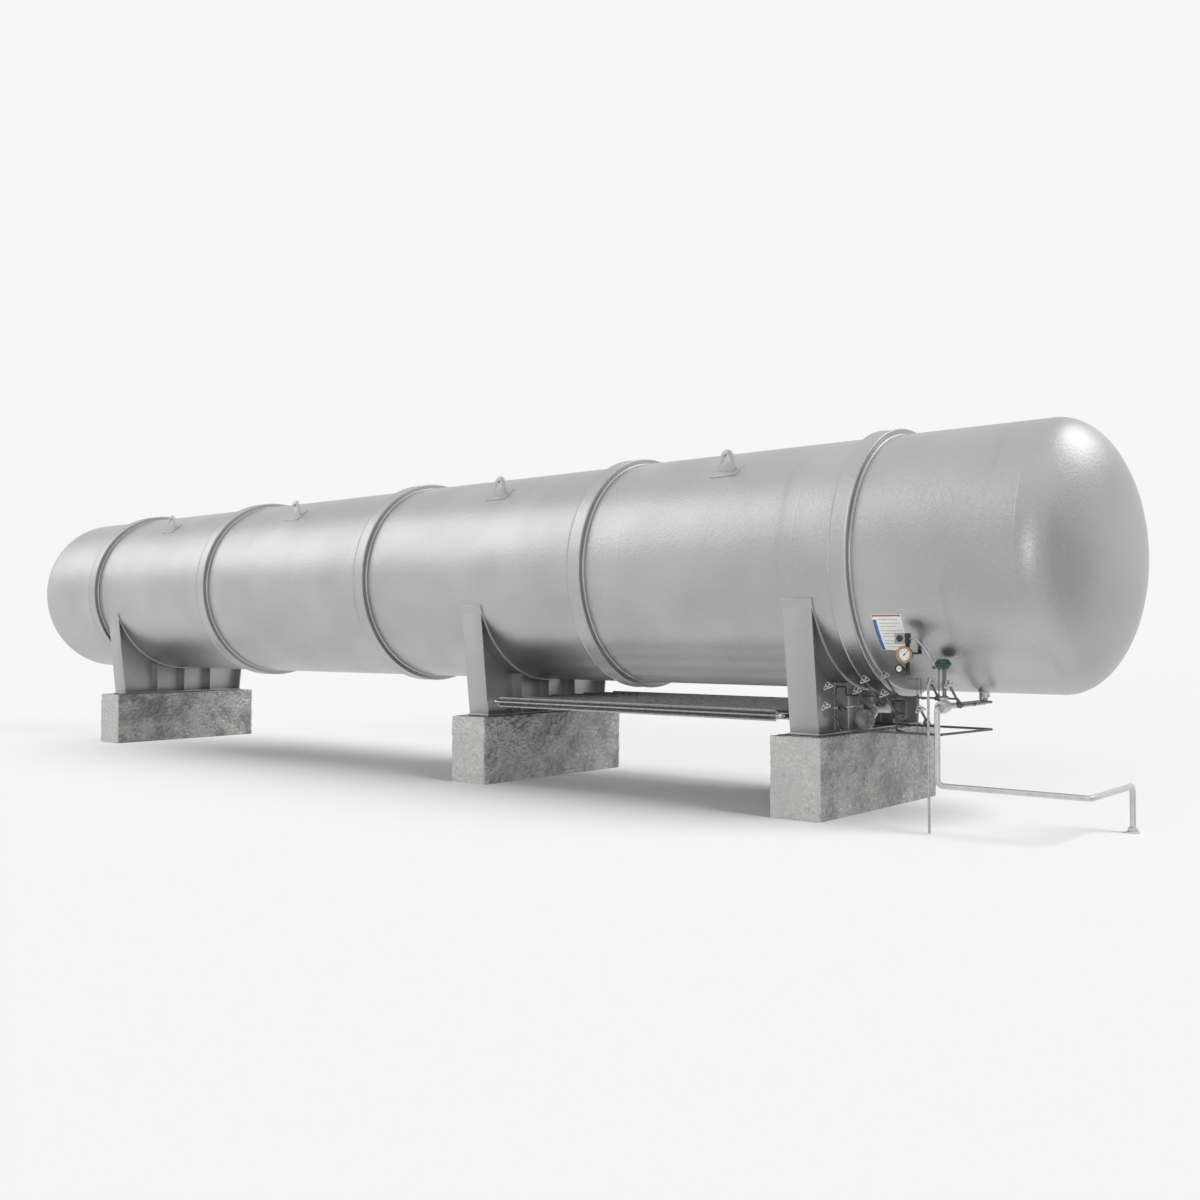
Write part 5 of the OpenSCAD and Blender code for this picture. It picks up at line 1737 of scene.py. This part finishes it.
POINTER_LIFT, POINTER_T, POINTER_EDGE = 0.004, 0.0012, 0.0002


def gauge(name, node, finish, top_number, open_share):
    """Case, dial, marks, numbers and pointer of one gauge, sized by its solid."""
    low, high, mid = span(node)
    radius = (high.x - low.x) / 2
    deep = high.y - low.y
    back = aim((mid.x, high.y, mid.z), FRONT)
    floor_h = deep - radius * DIAL_SET_BACK
    dial_r = radius * open_share
    case = bmesh.new()
    case_line = [(radius * wide, deep * tall) for wide, tall in CASE_SHARES]
    case_line += [(dial_r + radius * 0.05, deep), (dial_r + radius * 0.01, deep * 0.96),
                  (dial_r, floor_h), (0, floor_h)]
    lathe(case, case_line, back, GAUGE_SIDES)
    for angle in BEZEL_SCREWS_DEG:
        spot = back @ round_spot(radius * 0.92, angle)
        rod(case, spot + FRONT * deep * 0.70, spot + FRONT * deep * 0.93, radius * 0.05, 10)
    settle(name + "_case", case, finish, [node])

    dial = bmesh.new()
    disc_r = dial_r * 0.998
    lathe(dial, [(0, floor_h - DIAL_HALF), (disc_r, floor_h - DIAL_HALF), (disc_r, floor_h + DIAL_HALF),
                 (0, floor_h + DIAL_HALF)], back, GAUGE_SIDES)
    settle(name + "_dial", dial, "dial_white")

    face = back @ Matrix.Translation((0, 0, floor_h + INK_LIFT))
    ink = bmesh.new()
    for count, length, width in MARK_KINDS:
        values = {"Count": count, "Scale Radius": dial_r * (MARK_END - length / 2),
                  "Mark Length": dial_r * length, "Mark Width": dial_r * width,
                  "Open Angle": math.radians(SCALE_OPEN - SCALE_SLACK),
                  "Finish": finishes["instrument_black"]}
        take_in(ink, grow(mark_tree, bpy.data.meshes.new("mark_seed"), values), face)
    for step in range(SCALE_STEPS + 1):
        spot = round_spot(dial_r * NUMBER_AT, SCALE_START - SCALE_SWING * step / SCALE_STEPS)
        number_plate(ink, str(top_number * step // SCALE_STEPS), dial_r * NUMBER_SIZE,
                     face @ Matrix.Translation(spot))
    points_to = Matrix.Rotation(math.radians(SCALE_START - SCALE_SWING * READING), 4, "Z")
    needle = face @ Matrix.Translation((0, 0, POINTER_LIFT)) @ points_to
    outline = [(dial_r * x, dial_r * y) for x, y in POINTER_SHARES]
    cut_plate(ink, [outline], POINTER_T, needle, POINTER_EDGE)
    boss_r, cap_r = radius * 0.085, radius * 0.06
    lathe(ink, [(0, -POINTER_LIFT), (boss_r, -POINTER_LIFT), (boss_r, 0.002), (cap_r, 0.0035), (0, 0.0035)],
          needle, 24)
    settle(name + "_ink", ink, "instrument_black")
    print(f"{name}: radius {radius:.3f}, depth {deep:.3f}")


gauge("bronze_gauge", "level_gauge", "gauge_bronze", top_number=60, open_share=0.70)
gauge("black_gauge", "pressure_gauge", "instrument_black", top_number=30, open_share=0.64)

# %% [markdown]
# Above the gauges a small cast block carries a dark round cover, with a valve manifold beside it. These
# are plain boxes with softened edges, because that is how such parts are made, and the knobs are rods.

# %% Set the instrument block
BLOCK_W = 0.120
BLOCK_T = 0.060
BLOCK_TALL = 0.115
BLOCK_EDGE = 0.007
BLOCK_SCREW_R = 0.006
DISC_R = 0.037
DISC_LINE = ((0, -0.004), (DISC_R, -0.004), (DISC_R, 0.003), (DISC_R - 0.003, 0.006), (DISC_R - 0.008, 0.006),
             (DISC_R - 0.010, 0.003), (0, 0.0035))
MANIFOLD_W = 0.034
MANIFOLD_HALF = 0.055
MANIFOLD_EDGE = 0.004
KNOB_R = 0.014
KNOB_AT = (0.008, 0.020)
KNOB_EDGE = 0.002

gauge_low, gauge_high, gauge_mid = span("level_gauge")
face_y = gauge_low.y
block_right = panel_low.x + BLOCK_W
panel_x = panel_low.x + BLOCK_W / 2
panel_z = panel_mid.z

block = bmesh.new()
slab(block, (panel_low.x, face_y, panel_low.z), (block_right, face_y + BLOCK_T, panel_high.z), BLOCK_EDGE)
for share_x in (0.10, 0.90):
    for share_z in (0.10, 0.90):
        spot = Vector((panel_low.x + BLOCK_W * share_x, face_y, panel_low.z + BLOCK_TALL * share_z))
        rod(block, spot - FRONT * 0.004, spot + FRONT * 0.004, BLOCK_SCREW_R, HEX)
settle("panel_block", block, "instrument_grey", ["instrument_block"])

dark = bmesh.new()
lathe(dark, DISC_LINE, aim((panel_x, face_y, panel_z), FRONT), 40)
slab(dark, (block_right, face_y, panel_z - MANIFOLD_HALF),
     (panel_high.x, panel_high.y, panel_z + MANIFOLD_HALF), MANIFOLD_EDGE)
for side in (-1, 1):
    at = Vector((block_right + MANIFOLD_W / 2, face_y, panel_z + side * MANIFOLD_HALF / 2))
    rod(dark, at - FRONT * 0.004, at + FRONT * 0.009, KNOB_R * 0.6, HEX)
    rod(dark, at + FRONT * KNOB_AT[0], at + FRONT * KNOB_AT[1], KNOB_R, 14, KNOB_EDGE)
settle("panel_valves", dark, "instrument_black")

# %% [markdown]
# Block and gauges hang on a black flat bar, which one arm holds off the jacket. Short cross pieces carry
# what stands beside the bar. All are slabs between the boxes of the solids, so they meet without a gap.

# %% Hang it all on a bracket
BAR_W = 0.046
BAR_T = 0.012
BAR_EDGE = 0.0015
BAR_BOLT_R = 0.009
ARM_W = 0.040
ARM_H = 0.022

press_high, press_mid = span("pressure_gauge")[1:]
bar_low, bar_high = span("instrument_bracket")[:2]
bar_y = gauge_high.y
bar_back = bar_y + BAR_T
holder = bmesh.new()
for half, back_y, low_z, high_z in ((BAR_W / 2, bar_back, bar_low.z, bar_high.z),
                                    (ARM_W / 2, bar_high.y, gauge_mid.z, gauge_mid.z + ARM_H)):
    slab(holder, (gauge_mid.x - half, bar_y, low_z), (gauge_mid.x + half, back_y, high_z), BAR_EDGE)
for x, y, z in ((press_mid.x, press_high.y, press_mid.z), (panel_x, face_y + BLOCK_T, panel_z)):
    slab(holder, (x, y, z - ARM_H / 2), (gauge_mid.x, bar_back, z + ARM_H / 2), BAR_EDGE)
for bolt_z in (bar_low.z + 0.03, gauge_mid.z - 0.13, bar_high.z - 0.02):
    bolt_at = Vector((gauge_mid.x, bar_back, bolt_z))
    rod(holder, bolt_at + FRONT * 0.002, bolt_at + BACK * 0.007, BAR_BOLT_R, HEX)
settle("gauge_bracket", holder, "instrument_black", ["instrument_bracket"])

# %% [markdown]
# Thin bright tubes bring pressure from the two lines up to the gauges, and a short pilot tube joins the
# riser to the green casing. They are swept like the pipes, with small nuts at the ends.

# %% Bend the sensing tubes
SENSE_R = 0.006
SENSE_BEND = 0.024
SENSE_DROP = 0.265
SENSE_NUT = 0.018
DROP_R = SENSE_R * 0.84
PILOT_RISE = 0.024
CLAMP_HALF = 0.018

sense_low, sense_high, sense_mid = span("sensing_tubes")
sense_x = sense_mid.x
sense_z = gauge_mid.z - SENSE_DROP
far_y = -JACKET_R * 0.6867
drop_at = Vector((sense_x, -JACKET_R * 0.7507, sense_z))
drop_foot = Vector((sense_x, drop_at.y, sense_low.z))
sense_top = Vector((sense_x, bar_y + BAR_T / 2, bar_low.z))
sense_end = Vector((sense_x, sense_high.y, line_z))
tubes = bmesh.new()
sense_way = [sense_top, (sense_x, sense_top.y, sense_z), (sense_x, far_y, sense_z), (sense_x, far_y, line_z),
             sense_end]
pipe(tubes, sense_way, SENSE_R, SENSE_BEND, "stainless", 14)
rod(tubes, drop_at, drop_foot, DROP_R, 14)
nut(tubes, sense_top + DOWN * 0.010, UP, SENSE_R, SENSE_NUT)
nut(tubes, drop_at, FRONT, SENSE_R, 0.024)
nut(tubes, drop_foot + UP * 0.012, UP, DROP_R, SENSE_NUT)
nut(tubes, sense_end + FRONT * 0.012, FRONT, SENSE_R, SENSE_NUT)
settle("pressure_tubes", tubes, "tube_steel", ["sensing_tubes"])

pilot = bmesh.new()
pilot_z = case_at.z + PILOT_RISE
pilot_at = knee.lerp(crook, (pilot_z - knee.z) / (crook.z - knee.z))
case_front = Vector((pilot_at.x, regulator_y - CASE_R * 0.95, pilot_z))
rod(pilot, pilot_at, (pilot_at.x, regulator_y - CASE_R * 0.80, pilot_z), SENSE_R, 14)
nut(pilot, pilot_at + BACK * 0.022, FRONT, SENSE_R, SENSE_NUT)
nut(pilot, case_front + FRONT * 0.008, FRONT, SENSE_R, SENSE_NUT)
rod(pilot, pilot_at + DOWN * CLAMP_HALF, pilot_at + UP * CLAMP_HALF, SMALL_R * 1.35, 18)
settle("pilot_tube", pilot, "dark_pipe")

# %% [markdown]
# A thin printed sheet is fixed to the jacket beside the gauges, bent to its curve. Its print is left as
# plain bands of colour. Each is a curved pad like those under the lugs, half a millimetre proud of the
# sheet below it.

# %% Fix the plain notice
NOTICE_T = 0.003
NOTICE_EDGE = 0.006
NOTICE_TOP, NOTICE_BOTTOM = 114.9, 132.7
PRINT_T, PRINT_EDGE = 0.0005, 0.002
RED_BAND = (0.02, 0.98, 0.01, 0.055)
BLUE_BAND = (0.015, 0.15, 0.13, 0.985)
LINE_LEFT, LINE_TALL = 0.22, 0.018
LINE_TOPS = (0.12, 0.22, 0.30, 0.42, 0.50, 0.58, 0.70, 0.78, 0.88)
LINE_RIGHTS = (0.84, 0.92, 0.76, 0.92, 0.86, 0.90, 0.70, 0.92, 0.80)
SCREW_R, SCREW_H, SCREW_IN_DEG = 0.0055, 0.004, 0.9

notice_low, notice_high, notice_mid = span("notice_plate")
notice_w = notice_high.x - notice_low.x
notice_sweep = NOTICE_BOTTOM - NOTICE_TOP
sheet = bmesh.new()
curved_pad(sheet, notice_mid.x, NOTICE_TOP + notice_sweep / 2, notice_w, notice_sweep, NOTICE_T, NOTICE_EDGE)
settle("notice_sheet", sheet, "notice_sheet", ["notice_plate"])


def print_bars(name, finish, bars):
    """A piece of printed bars on the notice, each placed by shares: left, right, top, bottom."""
    shape = bmesh.new()
    for left, right, top, bottom in bars:
        curved_pad(shape, notice_low.x + notice_w * (left + right) / 2,
                   NOTICE_TOP + notice_sweep * (top + bottom) / 2, notice_w * (right - left),
                   notice_sweep * (bottom - top), NOTICE_T + PRINT_T, PRINT_EDGE, 6)
    settle(name, shape, finish)


print_bars("notice_red_band", "band_red", [RED_BAND])
print_bars("notice_blue_band", "band_blue", [BLUE_BAND])
print_bars("notice_grey_lines", "instrument_grey",
           [(LINE_LEFT, right, top, top + LINE_TALL) for top, right in zip(LINE_TOPS, LINE_RIGHTS)])

screws = bmesh.new()
for share in (0.05, 0.95):
    for turn in (NOTICE_TOP + SCREW_IN_DEG, NOTICE_BOTTOM - SCREW_IN_DEG):
        base, out = [on_jacket(notice_low.x + notice_w * share, turn, NOTICE_T + h) for h in (0, SCREW_H)]
        rod(screws, base - (out - base) * 0.4, out, SCREW_R, 12)
settle("notice_screws", screws, "valve_steel")
